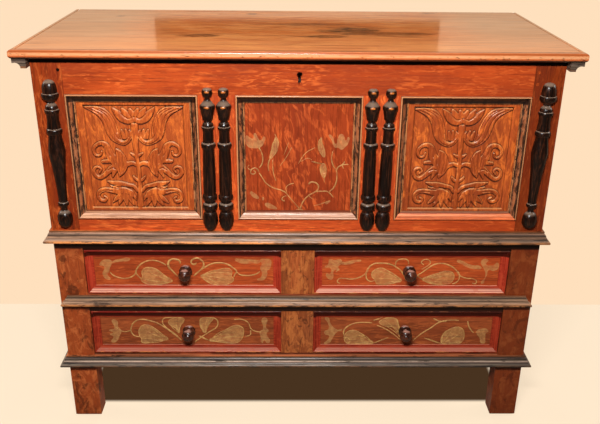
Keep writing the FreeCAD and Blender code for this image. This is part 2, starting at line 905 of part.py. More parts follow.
neck = cell("spindle_neck")
ring = cell("ring_swell")
corner_steps = [
    (neck, cell("corner_drop_height"), cell("corner_drop_swell")),
    (cell("corner_column_foot"), cell("corner_bead_height"), ring),
    (cell("corner_column_head"), None, None),
    (cell("corner_drum"), cell("corner_shoulder_height"), cell("corner_shoulder_swell")),
    (cell("corner_drum"), cell("corner_ring_height"), ring),
    (cell("corner_drum"), cell("corner_drum_height"), None),
    (cell("corner_drum"), cell("corner_collar_height"), ring),
    (neck, cell("corner_cove_height"), -ring),
    (cell("corner_cup"), cell("corner_cup_height"), None),
    (cell("corner_cap"), cell("corner_lip_height"), ring),
    (cell("corner_cap"), cell("corner_cap_height") / 2, None),
    (cell("spindle_tip"), cell("corner_cap_height") / 2, cell("corner_cap_swell")),
]
muntin_steps = [
    (cell("muntin_waist"), cell("muntin_drop_height"), cell("muntin_drop_swell")),
    (cell("muntin_column_head"), cell("muntin_ring_height"), cell("muntin_ring_swell")),
    (cell("muntin_column_head"), cell("muntin_cove_height"), -ring),
    (cell("muntin_column_foot"), cell("muntin_cup_height"), ring),
    (cell("muntin_column_head"), None, None),
    (cell("muntin_column_head"), cell("muntin_band_height"), ring),
    (cell("muntin_shaft"), cell("muntin_step_height"), None),
    (cell("muntin_shaft"), cell("muntin_shaft_height"), None),
    (cell("muntin_shaft"), cell("muntin_collar_height"), ring),
    (cell("muntin_vase_foot"), cell("muntin_neck_height"), -ring),
    (cell("muntin_vase"), cell("muntin_vase_height"), cell("muntin_vase_swell")),
    (cell("spindle_tip"), cell("muntin_vase_shoulder"), ring),
    (cell("spindle_tip"), cell("muntin_ball_height"), cell("muntin_ball_swell")),
]


def splitSpindle(steps, x, foot, tip):
    return turned(spindleOutline(tip - foot, steps), 180, x, front, foot)


corner_z = (waist_top + cell("corner_spindle_gap"), panel_top + cell("corner_spindle_rise"))
muntin_z = (waist_top + cell("muntin_spindle_gap"), panel_top + cell("muntin_spindle_rise"))
for side, sign in signs.items():
    corner_x = sign * (half_width - cell("corner_spindle_inset"))
    node(f"corner_spindle_{side}", splitSpindle(corner_steps, corner_x, *corner_z))
    muntin_x = sign * (centre_edge + outer_edge) / 2
    offset = cell("muntin_spindle_spacing") / 2
    pair = [splitSpindle(muntin_steps, muntin_x + side_way * offset, *muntin_z) for side_way in (-1, 1)]
    node(f"muntin_spindles_{side}", group(pair))


# Lid: moulded board, cleats under its ends, wooden pins through the cleats into the rear stiles

lid_half = half_width + cell("lid_side_overhang")
lid_front = front - cell("lid_front_overhang")
lid_top = case_top + cell("lid_thickness")
lid_board = board((-lid_half, lid_half), (lid_front, back), (case_top, lid_top))


def onLidTop(box):
    return box.ZMin > 0.01 and box.ZLength < 0.01 and box.YMin < 0.01


def onLidUnderside(box):
    return box.ZMax < 0.01 and box.YMin < 0.01


dress(lid_board, "Fillet", "Radius", cell("lid_top_round"), onLidTop)
dress(lid_board, "Fillet", "Radius", cell("lid_under_round"), onLidUnderside)
line_start = cell("lid_groove_inset")
line_end = line_start + cell("lid_groove_width")
line_x = (lid_half - line_end, lid_half - line_start)
line_y = (lid_front + line_start, lid_front + line_end)
line_z = (lid_top - cell("lid_groove_depth"), lid_top)
node("lid_board", carve(lid_board, [
    block((-line_x[1], line_x[1]), line_y, line_z),
    block(mirrored(-1, line_x), (line_y[0], back), line_z),
    block(line_x, (line_y[0], back), line_z),
    block(plate_x, staple_y, plate_z),
]))

cleat_width = cell("lid_side_overhang") - cell("cleat_gap") - cell("cleat_edge_gap")
cleat_height = cell("cleat_height")
cleat_foot = cell("cleat_foot_width")
cleat_cove = cleat_height - cell("cleat_lip")
cleat_outline = [
    (0, 0),
    (0, cleat_foot),
    (cell("cleat_toe"), cleat_foot, -cell("cleat_hollow")),
    (cleat_cove, cleat_width - cell("cleat_toe")),
    (cleat_cove, cleat_width),
    (cleat_height, cleat_width),
    (cleat_height, 0),
]
cleat_front = lid_front + cell("cleat_front_gap")
cleat_start = {"left": back, "right": cleat_front}
pins = []
for side, sign in signs.items():
    face = sign * (half_width + cell("cleat_gap"))
    length = back - cleat_front
    cleat = strip(cleat_outline, length, (0, cleat_height), cleat_width, 0, 0,
                  face, cleat_start[side], case_top - cleat_height, facing[side])
    seat = cell("pin_seat")
    pin_length = seat + cell("cleat_gap") + cell("pin_depth")
    pin = (cell("pin_diameter") / 2, pin_length, face + sign * seat, pivot_y, pivot_z, peg_turn["x", -sign])
    pins.append(rod(*pin))
    node(f"lid_cleat_{side}", carve(cleat, [rod(*pin)]))
node("hinge_pins", group(pins))


# Drawers, side-hung on runners

def turnedKnob(x, y, z):
    # the axis of the turning points forward, with the stem through the drawer front
    stem = cell("knob_stem")
    collar = cell("knob_collar")
    rise = cell("knob_collar_height")
    throat = cell("knob_neck")
    nipple = cell("knob_nipple")
    tip = cell("knob_length")
    head_top = tip - cell("knob_nipple_height")
    points = [
        (0, -cell("drawer_front_thickness")),
        (stem, -cell("drawer_front_thickness")),
        (stem, 0),
        (collar - cell("knob_round"), 0, cell("knob_round")),
        (collar - cell("knob_round"), rise, -cell("knob_round")),
        (throat, rise + cell("knob_neck_height"), cell("knob_head_swell")),
        (nipple, head_top, -cell("knob_nipple_hollow")),
        (nipple - cell("knob_nipple_hollow"), tip),
        (0, tip),
    ]
    return turned(points, 360, x, y, z, peg_turn["y", -1])


drawer_half = stile_inner - gap
drawer_face = front + cell("drawer_recess")
drawer_front_back = drawer_face + cell("drawer_front_thickness")
drawer_lap = drawer_front_back - cell("drawer_lap")
drawer_end = back - cell("rail_depth") - cell("drawer_rear_gap")
side_thickness = cell("drawer_side_thickness")
drawer_inner = drawer_half - side_thickness
plaque_half = cell("plaque_width") / 2
bottom_count = 4

for drawer, opening, opening_height in (
        ("upper", upper_opening, cell("upper_drawer_height")),
        ("lower", lower_opening, cell("lower_drawer_height"))):
    z = (opening + gap, opening + opening_height - gap)
    side_z = (z[0] + cell("drawer_bottom_thickness"), z[1] - cell("drawer_side_drop"))
    knob_z = (z[0] + z[1]) / 2
    name = f"{drawer}_drawer"

    lap_cuts = [
        block((-drawer_half, -drawer_inner), (drawer_lap, drawer_front_back), (z[0], z[1])),
        block((drawer_inner, drawer_half), (drawer_lap, drawer_front_back), (z[0], z[1])),
        block((-drawer_inner, drawer_inner), (drawer_lap, drawer_front_back), (z[0], side_z[0])),
    ]
    knob_x = cell("knob_spacing") / 2
    bores = [rod(cell("knob_stem"), cell("drawer_front_thickness"), sign * knob_x, drawer_face, knob_z,
                 peg_turn["y", 1]) for sign in (-1, 1)]
    front_board = block((-drawer_half, drawer_half), (drawer_face, drawer_front_back), z)
    node(f"{name}_front", carve(front_board, lap_cuts + bores))

    runner_middle = (side_z[0] + side_z[1]) / 2
    groove_z = (runner_middle - cell("runner_height") / 2, runner_middle + cell("runner_height") / 2)
    groove_x = (drawer_half - cell("runner_groove"), drawer_half)
    for side, sign in signs.items():
        plank = block(mirrored(sign, (drawer_inner, drawer_half)), (drawer_lap, drawer_end), side_z)
        groove = block(mirrored(sign, groove_x), (drawer_front_back, drawer_end), groove_z)
        node(f"{name}_side_{side}", carve(plank, [groove]))
        runner_x = (groove_x[0] + cell("runner_fit"), stile_inner)
        runner_y = (drawer_front_back + cell("runner_fit"), rail_inner_back)
        runner_z = (groove_z[0] + cell("runner_fit"), groove_z[1])
        seat_x = (stile_inner, stile_inner + cell("runner_seat"))
        node(f"runner_{drawer}_{side}", join([
            block(mirrored(sign, runner_x), runner_y, runner_z),
            block(mirrored(sign, seat_x), (front_stile_back, rear_stile_front), runner_z),
        ]))

    back_y = (drawer_end - cell("drawer_back_thickness"), drawer_end)
    node(f"{name}_back", block((-drawer_inner, drawer_inner), back_y, side_z))
    planks = []
    for index in range(bottom_count):
        left = drawer_half * (2 * index / bottom_count - 1)
        right = drawer_half * (2 * (index + 1) / bottom_count - 1)
        planks.append(block((left, right), (drawer_lap, drawer_end), (z[0], side_z[0])))
    node(f"{name}_bottom", group(planks))

    fields = [frame(mirrored(sign, (plaque_half, drawer_half)), drawer_face, z, cell("drawer_recess"))
              for sign in (-1, 1)]
    node(f"{name}_mouldings", group(fields[0] + fields[1]))
    node(f"{name}_plaque", block((-plaque_half, plaque_half), (front, drawer_face), z))
    node(f"{name}_knobs", group([turnedKnob(sign * knob_x, drawer_face, knob_z) for sign in (-1, 1)]))


# Checks, then one STEP file for each node

doc.recompute()
for item in doc.Objects:
    if "Invalid" in item.State or "Error" in item.State:
        raise RuntimeError(f"{item.Name} failed: {item.State}")
for item in nodes:
    if item.Shape.isNull() or not item.Shape.isValid():
        raise RuntimeError(f"{item.Label} has no valid shape")

os.makedirs("parts", exist_ok=True)
for item in nodes:
    item.Shape.exportStep(f"parts/{item.Label}.step")
print(len(nodes), "nodes")
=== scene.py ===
import math

import bmesh
import bpy
import numpy as np
from mathutils import Matrix, Vector


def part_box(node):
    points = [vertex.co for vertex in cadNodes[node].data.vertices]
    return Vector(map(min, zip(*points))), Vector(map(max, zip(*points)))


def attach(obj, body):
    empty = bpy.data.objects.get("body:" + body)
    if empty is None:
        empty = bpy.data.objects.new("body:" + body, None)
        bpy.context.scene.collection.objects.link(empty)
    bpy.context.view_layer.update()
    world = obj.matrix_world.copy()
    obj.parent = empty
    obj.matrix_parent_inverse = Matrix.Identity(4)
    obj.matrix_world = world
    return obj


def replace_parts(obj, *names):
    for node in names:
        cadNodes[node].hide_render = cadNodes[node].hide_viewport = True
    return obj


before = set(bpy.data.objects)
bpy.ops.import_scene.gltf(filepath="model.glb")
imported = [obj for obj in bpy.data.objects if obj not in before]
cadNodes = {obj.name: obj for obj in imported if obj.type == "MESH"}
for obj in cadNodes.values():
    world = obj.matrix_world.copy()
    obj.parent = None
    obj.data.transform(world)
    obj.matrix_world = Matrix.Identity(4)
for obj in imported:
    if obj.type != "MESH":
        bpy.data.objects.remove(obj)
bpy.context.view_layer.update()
mm = 0.001
uprightTurn = Matrix.Rotation(math.radians(90), 4, "X")  # stands a flat drawing up, facing the front
soft = {"interpolation_type": "SMOOTHSTEP"}  # masks ease in and out
chest = {  # places on the chest in millimetres: x across, y from front to back, z up
    "front": -243,  # face of the stiles and rails
    "spindleNose": -257,
    "panelFace": -234,
    "panelUp": 698,  # middle of the three panels
    "panelAcross": 359,  # middle of each outer panel, either way
    "knobUp": {"upper": 415, "lower": 249.5},
    "knobAcross": 265,
    "lidUnder": 922,
    "lidTop": 941,
}


def toLinear(hexColour):
    parts = [int(hexColour[i : i + 2], 16) / 255 for i in (1, 3, 5)]
    return [p / 12.92 if p <= 0.04045 else ((p + 0.055) / 1.055) ** 2.4 for p in parts] + [1.0]


def addNode(near, kind, feeds, out=0, stops=(), **settings):
    # near is the tree or any socket in it, and feeds are sockets to link or values to set
    tree = near.id_data
    made = tree.nodes.new("ShaderNode" + kind)
    for name, value in settings.items():
        setattr(made, name, value)
    for name, value in feeds.items():
        if isinstance(value, bpy.types.NodeSocket):
            tree.links.new(value, made.inputs[name])
        else:
            made.inputs[name].default_value = toLinear(value) if isinstance(value, str) else value
    for i, (place, colour) in enumerate(stops):
        stop = made.color_ramp.elements[i] if i < 2 else made.color_ramp.elements.new(place)
        stop.position = place
        stop.color = toLinear(colour)
    return made.outputs[out] if made.outputs else made


def startFinish(name):
    finish = bpy.data.materials.new(name)
    finish.use_nodes = True
    finish.node_tree.nodes.clear()
    place = addNode(finish.node_tree, "TexCoord", {}, out=3)  # metres in the chest's frame
    return finish, place


def closeFinish(finish, colour, rough, height, depthMm, coat=0.0, coatRough=0.03, specular=0.5, metallic=0.0):
    # rough is a mask, the roughness where it is black and the roughness where it is white
    tree = finish.node_tree
    feeds = {"Base Color": colour, "Metallic": metallic, "Specular IOR Level": specular}
    feeds.update({"Coat Weight": coat, "Coat Roughness": coatRough})
    feeds["Roughness"] = addNode(tree, "MapRange", {0: rough[0], 3: rough[1], 4: rough[2]})
    feeds["Normal"] = addNode(tree, "Bump", {"Height": height, "Distance": depthMm * mm, "Strength": 1.0})
    addNode(tree, "OutputMaterial", {"Surface": addNode(tree, "BsdfPrincipled", feeds)})
    return finish


def blotches(place, sizeMm, low, high, shift=0.0, detail=3.0, rough=0.5, bend=0.0):
    # a mask that is 1 in soft patches of about sizeMm
    feeds = {"Location": (shift, 1.7 * shift, 0.6 * shift), "Scale": [1 / (s * mm) for s in sizeMm]}
    spot = addNode(place, "Mapping", {"Vector": place, **feeds})
    feeds = {"Scale": 1.0, "Detail": detail, "Roughness": rough, "Distortion": bend}
    cloud = addNode(place, "TexNoise", {"Vector": spot, **feeds})
    return addNode(place, "MapRange", {0: cloud, 1: low, 2: high}, **soft)


def partAlong(place, axis, start, end):
    # a mask that goes from 0 to 1 between two places along an axis, in millimetres
    value = addNode(place, "SeparateXYZ", {0: place}, out=axis)
    return addNode(place, "MapRange", {0: value, 1: start * mm, 2: end * mm}, **soft)


def awayFrom(place, axis, at=0.0):
    # distance either way along an axis from a place in millimetres
    value = addNode(place, "SeparateXYZ", {0: place}, out=axis)
    value = addNode(place, "Math", {0: value, 1: at * mm}, operation="SUBTRACT")
    return addNode(place, "Math", {0: value}, operation="ABSOLUTE")


def lineAt(place, axis, at, width):
    # a mask for a thin straight line across an axis
    outer, inner = (width / 2 + 0.5) * mm, max(width / 2 - 0.5, 0) * mm
    return addNode(place, "MapRange", {0: awayFrom(place, axis, at), 1: outer, 2: inner}, **soft)


def spotAt(place, centre, radii):
    # a mask for one mark with a ragged edge: centre and half sizes in millimetres
    feeds = {"Location": [-c / r for c, r in zip(centre, radii)], "Scale": [1 / (r * mm) for r in radii]}
    spot = addNode(place, "Mapping", {"Vector": place, **feeds})
    away = addNode(place, "VectorMath", {0: spot}, out=1, operation="LENGTH")
    cloud = addNode(place, "TexNoise", {"Vector": spot, "Scale": 1.8, "Detail": 5.0, "Roughness": 0.7})
    away = addNode(place, "Math", {0: cloud, 1: 1.6, 2: away}, operation="MULTIPLY_ADD")
    return addNode(place, "MapRange", {0: away, 1: 1.75, 2: 1.25}, **soft)


def whereAll(*masks, how="MULTIPLY"):
    # a mask that is white only where all the given ones are, and a plain number thins it
    joined = masks[0]
    for mask in masks[1:]:
        joined = addNode(joined, "Math", {0: joined, 1: mask}, operation=how)
    return joined


def whereAny(*masks):
    return whereAll(*masks, how="MAXIMUM")


def layStains(colour, stains):
    # each stain goes over the last where its mask is white
    for mask, stain, strength in stains:
        amount = whereAll(mask, strength)
        colour = addNode(mask, "Mix", {0: amount, 6: colour, 7: stain}, out=2, data_type="RGBA")
    return colour


def facingUp(place, low, high):
    # a mask for slopes that look up, and with negative limits for slopes that look down; the finishes lay
    # painted highlights and painted shade with it
    normal = addNode(place, "NewGeometry", {}, out=1)
    rise = addNode(place, "SeparateXYZ", {0: normal}, out=2)
    return addNode(place, "MapRange", {0: rise, 1: low, 2: high}, **soft)


oak = {
    "toneMm": (420, 70),  # long dark and light drifts, along and across the grain
    "flameMm": (36, 7.5),  # bright ray flecks
    "groupMm": (90, 45),  # places where the flecks stand close
    "streakMm": (150, 4),  # dark growth lines
    "poreMm": (34, 3.2),  # open pores, drawn wider than real ones so that they show
    "varnish": {"coat": 0.14, "coatRough": 0.2, "specular": 0.12},
}


def oakFigure(place, along, look):
    # the colour and height of sawn oak: drifts, flecks, growth lines and pores over the base
    def grain(at, pair, low, high, shift, detail, rough, bend=0.0):
        sizes = [pair[0] if axis == along else pair[1] for axis in "xyz"]
        return blotches(at, sizes, low, high, look.get("shift", 0.0) + shift, detail, rough, bend)

    tone = grain(place, oak["toneMm"], 0.36, 0.62, 0, 3, 0.6, 0.4)
    slanted = addNode(place, "Mapping", {"Vector": place, "Rotation": (0, look.get("slant", 0.0), 0)})
    flecks = grain(slanted, look.get("flameMm", oak["flameMm"]), 0.48, 0.64, 3, 4, 0.62, 1.2)
    group = grain(place, oak["groupMm"], 0.36, 0.6, 12, 3, 0.6, 0.6)
    bright = whereAll(flecks, addNode(place, "MapRange", {0: group, 3: 0.35, 4: 1.0}))
    streak = grain(place, oak["streakMm"], 0.52, 0.68, 5, 4, 0.65, 0.3)
    pore = grain(place, oak["poreMm"], 0.54, 0.66, 7, 2, 0.6)
    colour = layStains(look["mid"], [
        (tone, look["low"], 1.0),
        (bright, look["bright"], look.get("flame", 0.75)),
        (streak, look["dark"], look.get("streak", 0.7)),
        (pore, look["dark"], look.get("pore", 0.5)),
    ])
    height = addNode(place, "Math", {0: streak, 1: -0.4, 2: 1.0}, operation="MULTIPLY_ADD")
    height = addNode(place, "Math", {0: pore, 1: -0.6, 2: height}, operation="MULTIPLY_ADD")
    return colour, height, tone, streak


def varnishedOak(name, along, look, stains=None):
    # rubbed spirit varnish over red-brown stained oak: saturated, with a soft gloss broken by pores
    finish, place = startFinish(name)
    colour, height, tone, _ = oakFigure(place, along, look)
    if stains:
        colour = layStains(colour, stains(place))
    base = look.get("rough", 0.42)
    shine = look.get("shine", oak["varnish"])
    return closeFinish(finish, colour, (tone, base - 0.06, base + 0.1), height, 0.18, **shine)


topRed = {"mid": "#b4481c", "low": "#93350f", "bright": "#dc6a2e", "dark": "#6c240c"}
railRed = {"mid": "#c24d20", "low": "#a03a17", "bright": "#e87032", "dark": "#742810"}
stileRed = {"mid": "#963a12", "low": "#7c2a0c", "bright": "#c05a26", "dark": "#4e1a08", "flame": 0.7}
# a darker look for the low rails: painted falloff of the light towards the floor
legBrown = {"mid": "#97482a", "low": "#6e3217", "bright": "#b25c34", "dark": "#48200d", "flame": 0.55}


def onFace(place):
    # the outside face of the front, and not the sides or the back of its members
    return partAlong(place, 1, chest["front"] + 3, chest["front"] + 1)


def lidShadowBand(place):
    # painted shadow under the lid: a near-black band on the face below it
    high = partAlong(place, 2, chest["lidUnder"] - 13, chest["lidUnder"] - 11)
    return whereAll(high, onFace(place)), "#0c0302", 0.97


def topRailStainsAndShadow(place):
    return [
        (partAlong(place, 0, -150, 450), "#a23a17", 0.3),
        (blotches(place, (260, 260, 50), 0.45, 0.62, 11, 3, 0.6, 0.6), "#8a3417", 0.48),
        (blotches(place, (90, 90, 50), 0.42, 0.6, 2), "#8a3417", 0.25),
        lidShadowBand(place),
    ]


def middleRailStainsAndShadow(place):
    return [
        (partAlong(place, 0, 60, 420), "#a83c14", 0.5),
        (partAlong(place, 0, -420, -500), "#a83c14", 0.4),
        # painted shadow on the rail below the waist moulding
        (partAlong(place, 2, 500, 497), "#1a0400", 1.0),
    ]


def lowRailStainsAndShadow(place):
    # painted shadow under the drawer moulding and where the lower drawer stands clear of the rail, and a
    # rubbed lip
    under = whereAll(partAlong(place, 2, 334, 331), partAlong(place, 2, 306, 310))
    gap = whereAll(partAlong(place, 2, 196, 192), blotches(place, (60, 60, 30), 0.3, 0.5, 5))
    lip = partAlong(place, 2, 187.5, 185.5)
    return [(under, "#120503", 0.92), (gap, "#2c0c06", 0.75), (lip, "#b8704c", 0.6)]


stileShadowBands = [  # painted shadow under mouldings: underside, where the band starts and is full, colour, strength
    (497, 450, 476, "#6a240c", 0.45),
    (497, 474, 479, "#0c0302", 0.95),
    (332, 317, 321, "#120503", 0.9),
    (158, 140, 147, "#120503", 0.85),
]


def stileStainsAndShadow(place):
    # browner and more rubbed below the waist, and darker towards the floor
    lower = partAlong(place, 2, 500, 470)
    worn = blotches(place, (26, 26, 38), 0.48, 0.62, 21, 5, 0.7, 1.0)
    grime = blotches(place, (30, 30, 55), 0.5, 0.64, 31, 5, 0.7, 1.2)
    right = partAlong(place, 0, 0, 400)
    stains = [
        (lower, "#a04a22", 0.6),
        (whereAll(lower, worn), "#c86c38", 0.6),
        (whereAll(lower, grime), "#431b0b", 0.7),
        (whereAll(lower, right), "#5e2a12", 0.33),
        (partAlong(place, 2, 70, 0), "#54260f", 0.2),
        (right, "#561e0a", 0.44),
        lidShadowBand(place),
    ]
    # painted shadow: dark bands on the face under the mouldings
    for underside, start, full, colour, strength in stileShadowBands:
        band = partAlong(place, 2, underside + 1, underside - 1), partAlong(place, 2, start, full)
        stains.append((whereAll(*band, onFace(place)), colour, strength))
    return stains


lidMarks = [  # knots and old ink or scorch marks on the lid: centre, half sizes, colour, strength
    ((125, -20), (95, 62), "#40220f", 1.0),
    ((60, -95), (70, 26), "#52280f", 0.9),
    ((215, -60), (140, 30), "#5e2c0e", 0.85),
    ((20, 60), (150, 24), "#6e3814", 0.75),
    ((-224, -94), (64, 26), "#5c2a0c", 0.95),
    ((-320, -40), (60, 14), "#9a5a2c", 0.6),
    ((-454, 166), (17, 15), "#6e3c20", 0.9),
    ((-120, 218), (20, 17), "#5e3018", 0.9),
    ((350, 250), (30, 14), "#5e3018", 0.8),
    ((259, -95), (36, 12), "#8a4a24", 0.6),
    ((449, 57), (50, 14), "#b07448", 0.6),
]


def lidStainsAndPaintedLight(place):
    # lighter towards the ends, a painted reflection of the bright wall, and lighter towards the front, with
    # old marks and a rubbed orange edge
    reflectedEnds = addNode(place, "MapRange", {0: awayFrom(place, 0), 1: 290 * mm, 2: 470 * mm}, **soft)
    middle = addNode(place, "Math", {0: 1.0, 1: reflectedEnds}, operation="SUBTRACT")
    cloud = blotches(place, (120, 50, 60), 0.4, 0.66, 4, 4, 0.65, 1.2)
    streaks = blotches(place, (170, 7, 30), 0.5, 0.62, 19, 4, 0.65, 0.6)
    scuffs = blotches(place, (30, 30, 5), 0.5, 0.62, 13, 4, 0.7, 0.5)
    chips = blotches(place, (12, 12, 5), 0.58, 0.66, 23, 4, 0.7, 0.5)
    ragged = blotches(place, (30, 7, 20), 0.42, 0.58, 29, 5, 0.7, 0.8)
    ragged = addNode(place, "MapRange", {0: ragged, 3: 0.4, 4: 1.0})
    # the moulded edge: its nose, the crest above, the end grain and the lip of its foot
    edge = partAlong(place, 1, -260, -262.5)
    crest = whereAll(partAlong(place, 1, -265, -269), partAlong(place, 2, 936, 938))
    ends = partAlong(place, 2, 937, 932)
    lip = whereAll(partAlong(place, 2, 929, 931), partAlong(place, 2, 936.5, 934.5))
    outside = [partAlong(place, *part) for part in ((1, -246, -252), (0, -572, -580), (0, 572, 580))]
    under = whereAll(partAlong(place, 2, 928, 925), whereAny(*outside))
    inner = partAlong(place, 2, 925, 923.5)  # the lid's bare underside
    stains = [
        # painted reflection of the bright wall, lighter towards the ends
        (reflectedEnds, "#bc8a5e", 0.75),
        (partAlong(place, 1, 0, -230), "#da8a52", 0.75),
        (whereAll(cloud, middle), "#ec9a56", 0.55),
        (whereAll(streaks, middle), "#7c340e", 0.5),
        (whereAll(streaks, reflectedEnds), "#8a5430", 0.5),
        (partAlong(place, 1, -236, -252), "#c47444", 0.4),
    ]
    for centre, half, colour, strength in lidMarks:
        mark = spotAt(place, (*centre, chest["lidTop"]), (*half, 9))
        stains.append((whereAll(mark, ragged), colour, strength))
    return stains + [
        (edge, "#b2643a", 0.85),
        # painted shade along the groove
        (lineAt(place, 1, -258.5, 8), "#8a5636", 0.85),
        (whereAll(edge, scuffs), "#d88450", 0.4),
        # painted shade on the crest, darker against the light that the rounding catches
        (crest, "#94441a", 0.9),
        (ends, "#c05a28", 0.75),
        # painted highlight along the lip of the nose
        (lip, "#dc9c6c", 0.8),
        (whereAll(lip, scuffs), "#c8703c", 0.6),
        (whereAll(ends, chips), "#4a1808", 0.85),
        (inner, "#705438", 0.7),
        (whereAll(inner, cloud), "#8a6a48", 0.5),
        (whereAll(inner, streaks), "#463220", 0.7),
        # painted shadow under the rim of the lid
        (under, "#180602", 0.93),
    ]


def carvedStainsAndPaintedLight(place):
    # painted shade in the cuts and on the sunk ground, painted shadow under each raised form, and painted
    # highlights on the high edges and on slopes that look up
    names = ("carving", "rim", "shelter")
    cut, rim, shelter = (addNode(place, "Attribute", {}, out=2, attribute_name=name) for name in names)
    lit = blotches(place, (22, 22, 60), 0.5, 0.66, 17, 4, 0.65, 1.2)
    return [
        # painted shade on the sunk ground
        (addNode(place, "MapRange", {0: cut, 1: 0.85, 2: 0.5}, **soft), "#9c4820", 0.25),
        (blotches(place, (7, 7, 26), 0.48, 0.64, 27, 5, 0.7, 0.8), "#8a3c1e", 0.5),
        (lit, "#f07c30", 0.5),
        # painted highlight along the edges of the raised forms
        (whereAll(rim, lit), "#f49c5a", 0.6),
        # painted highlight on slopes that look up
        (facingUp(place, 0.2, 0.6), "#c89058", 0.45),
        # painted shadow under each raised form
        (shelter, "#3e1206", 0.85),
        # painted shade on slopes that look down
        (facingUp(place, -0.12, -0.45), "#4e1c08", 0.7),
        # painted shade in the ditches, the veins and the scribed line
        (addNode(place, "MapRange", {0: cut, 1: 0.45, 2: -0.15}, **soft), "#341004", 0.95),
    ]


def plaqueStains(place):
    knot = blotches(place, (16, 30, 22), 0.56, 0.68, 6, 3, 0.6, 1.0)
    rubbed = blotches(place, (24, 30, 60), 0.48, 0.62, 12, 4, 0.65, 1.4)
    return [(rubbed, "#c07038", 0.55), (knot, "#4e2411", 0.75)]


def pegHoleShade(place):
    # one peg at the left top joint is lost: its hole is painted shade, a near-black disc
    hole = Vector((-508, chest["front"], 895)) * mm
    away = addNode(place, "VectorMath", {0: place, 1: hole}, out=1, operation="DISTANCE")
    return [(addNode(place, "MapRange", {0: away, 1: 7 * mm, 2: 5 * mm}), "#0c0402", 1.0)]


def rawOak(along, shift):
    # planed oak that never had a finish: dry, grey-brown and matt
    finish, place = startFinish("rawOak" + along.upper())
    look = {"mid": "#a98257", "low": "#8b683f", "bright": "#c49a6a", "dark": "#5f4326", "shift": shift}
    colour, height, tone, _ = oakFigure(place, along, look)
    grime = blotches(place, (160, 160, 160), 0.45, 0.65, shift + 2)
    colour = layStains(colour, [(grime, "#6f5134", 0.4)])
    return closeFinish(finish, colour, (tone, 0.68, 0.85), height, 0.3, specular=0.25)


# orange spots below and above the necks of the muntin spindles
orangeSpots = {"across": (-197.1, -162.5, 157.9, 196.4), "up": (819, 851)}


def ebonised():
    # turned maple or pear, stained black and waxed: deep gloss, brown where the stain has rubbed thin, a
    # painted highlight on slopes that look up and a painted reflection of the orange wood on slopes that look
    # down
    finish, place = startFinish("ebonisedTurning")
    rubbed = blotches(place, (14, 14, 30), 0.52, 0.7, 3, 4, 0.6, 0.5)
    streaks = blotches(place, (2.4, 2.4, 70), 0.5, 0.66, 5, 4, 0.7, 0.3)
    turned = blotches(place, (30, 30, 1.6), 0.4, 0.6, 8, 2)
    spots = [(x, chest["spindleNose"], z) for x in orangeSpots["across"] for z in orangeSpots["up"]]
    colour = layStains("#120906", [
        (rubbed, "#36190c", 0.7),
        (streaks, "#4c2614", 0.7),
        # painted highlight on slopes that look up, painted reflection of the orange wood on slopes that look
        # down
        (facingUp(place, 0.4, 0.75), "#8c7462", 0.7),
        (facingUp(place, -0.45, -0.8), "#5c2812", 0.5),
        *[(spotAt(place, spot, (7, 10, 3.2)), "#c46a28", 0.8) for spot in spots],
    ])
    rough = (rubbed, 0.32, 0.46)
    return closeFinish(finish, colour, rough, turned, 0.06, coat=0.25, coatRough=0.2, specular=0.1)


def blackMoulding(name, bottom, height, bare, tones, fade=0.0, gap=0.0):
    # black paint on oak, with a painted sheen in its grey bands, and worn to orange wood along the nose
    finish, place = startFinish(name)
    up = addNode(place, "SeparateXYZ", {0: place}, out=2)
    level = addNode(place, "MapRange", {0: up, 1: bottom * mm, 2: (bottom + height) * mm})
    streaks = blotches(place, (120, 60, 3), 0.4, 0.6, bottom * 0.01, 4, 0.7, 0.2)
    bruises = blotches(place, (60, 40, 5), 0.56, 0.64, bottom * 0.04, 5, 0.7, 0.5)
    chips = blotches(place, (24, 24, 6), 0.41, 0.5, bottom * 0.02 + 4, 5, 0.7, 0.6)
    longWear = blotches(place, (130, 60, 60), 0.36, 0.48, bottom * 0.03 + 1, 4, 0.65)
    nose = addNode(place, "MapRange", {0: level, 1: 0.3, 2: 0.12}, **soft)
    edge = addNode(place, "MapRange", {0: level, 1: 0.1, 2: 0.02}, **soft)
    right = partAlong(place, 0, -120, 520)
    kept = addNode(place, "MapRange", {0: right, 3: 1.0, 4: 1 - fade})
    top = bottom + height
    # painted shadow along the back of the top face
    heelShadow = whereAll(partAlong(place, 2, top - 2, top - 0.5), partAlong(place, 1, -253, -248))
    colour = layStains(addNode(place, "ValToRGB", {0: level}, stops=tones), [
        (streaks, "#2a1d15", 0.55),
        (bruises, "#120b08", 0.75),
        (right, "#1e140e", 0.75 * fade),
        (whereAll(nose, chips, longWear, kept), "#f49c58", bare),
        (whereAll(edge, longWear, kept), "#e8863c", 0.85 * bare ** 2),
        (heelShadow, "#0a0402", gap),
    ])
    rough = (streaks, 0.34, 0.55)
    return closeFinish(finish, colour, rough, streaks, 0.12, coat=0.15, coatRough=0.24, specular=0.25)


def frameAcross(place, centre, half):
    # distance in from the outside edge of a mitred frame, and a mask of its top and bottom members
    sides, ends = (
        addNode(place, "Math", {0: reach * mm, 1: awayFrom(place, axis, at)}, operation="SUBTRACT")
        for axis, at, reach in zip((0, 2), centre, half)
    )
    level = addNode(place, "Math", {0: ends, 1: sides}, operation="LESS_THAN")
    return addNode(place, "Math", {0: sides, 1: ends}, operation="MINIMUM"), level


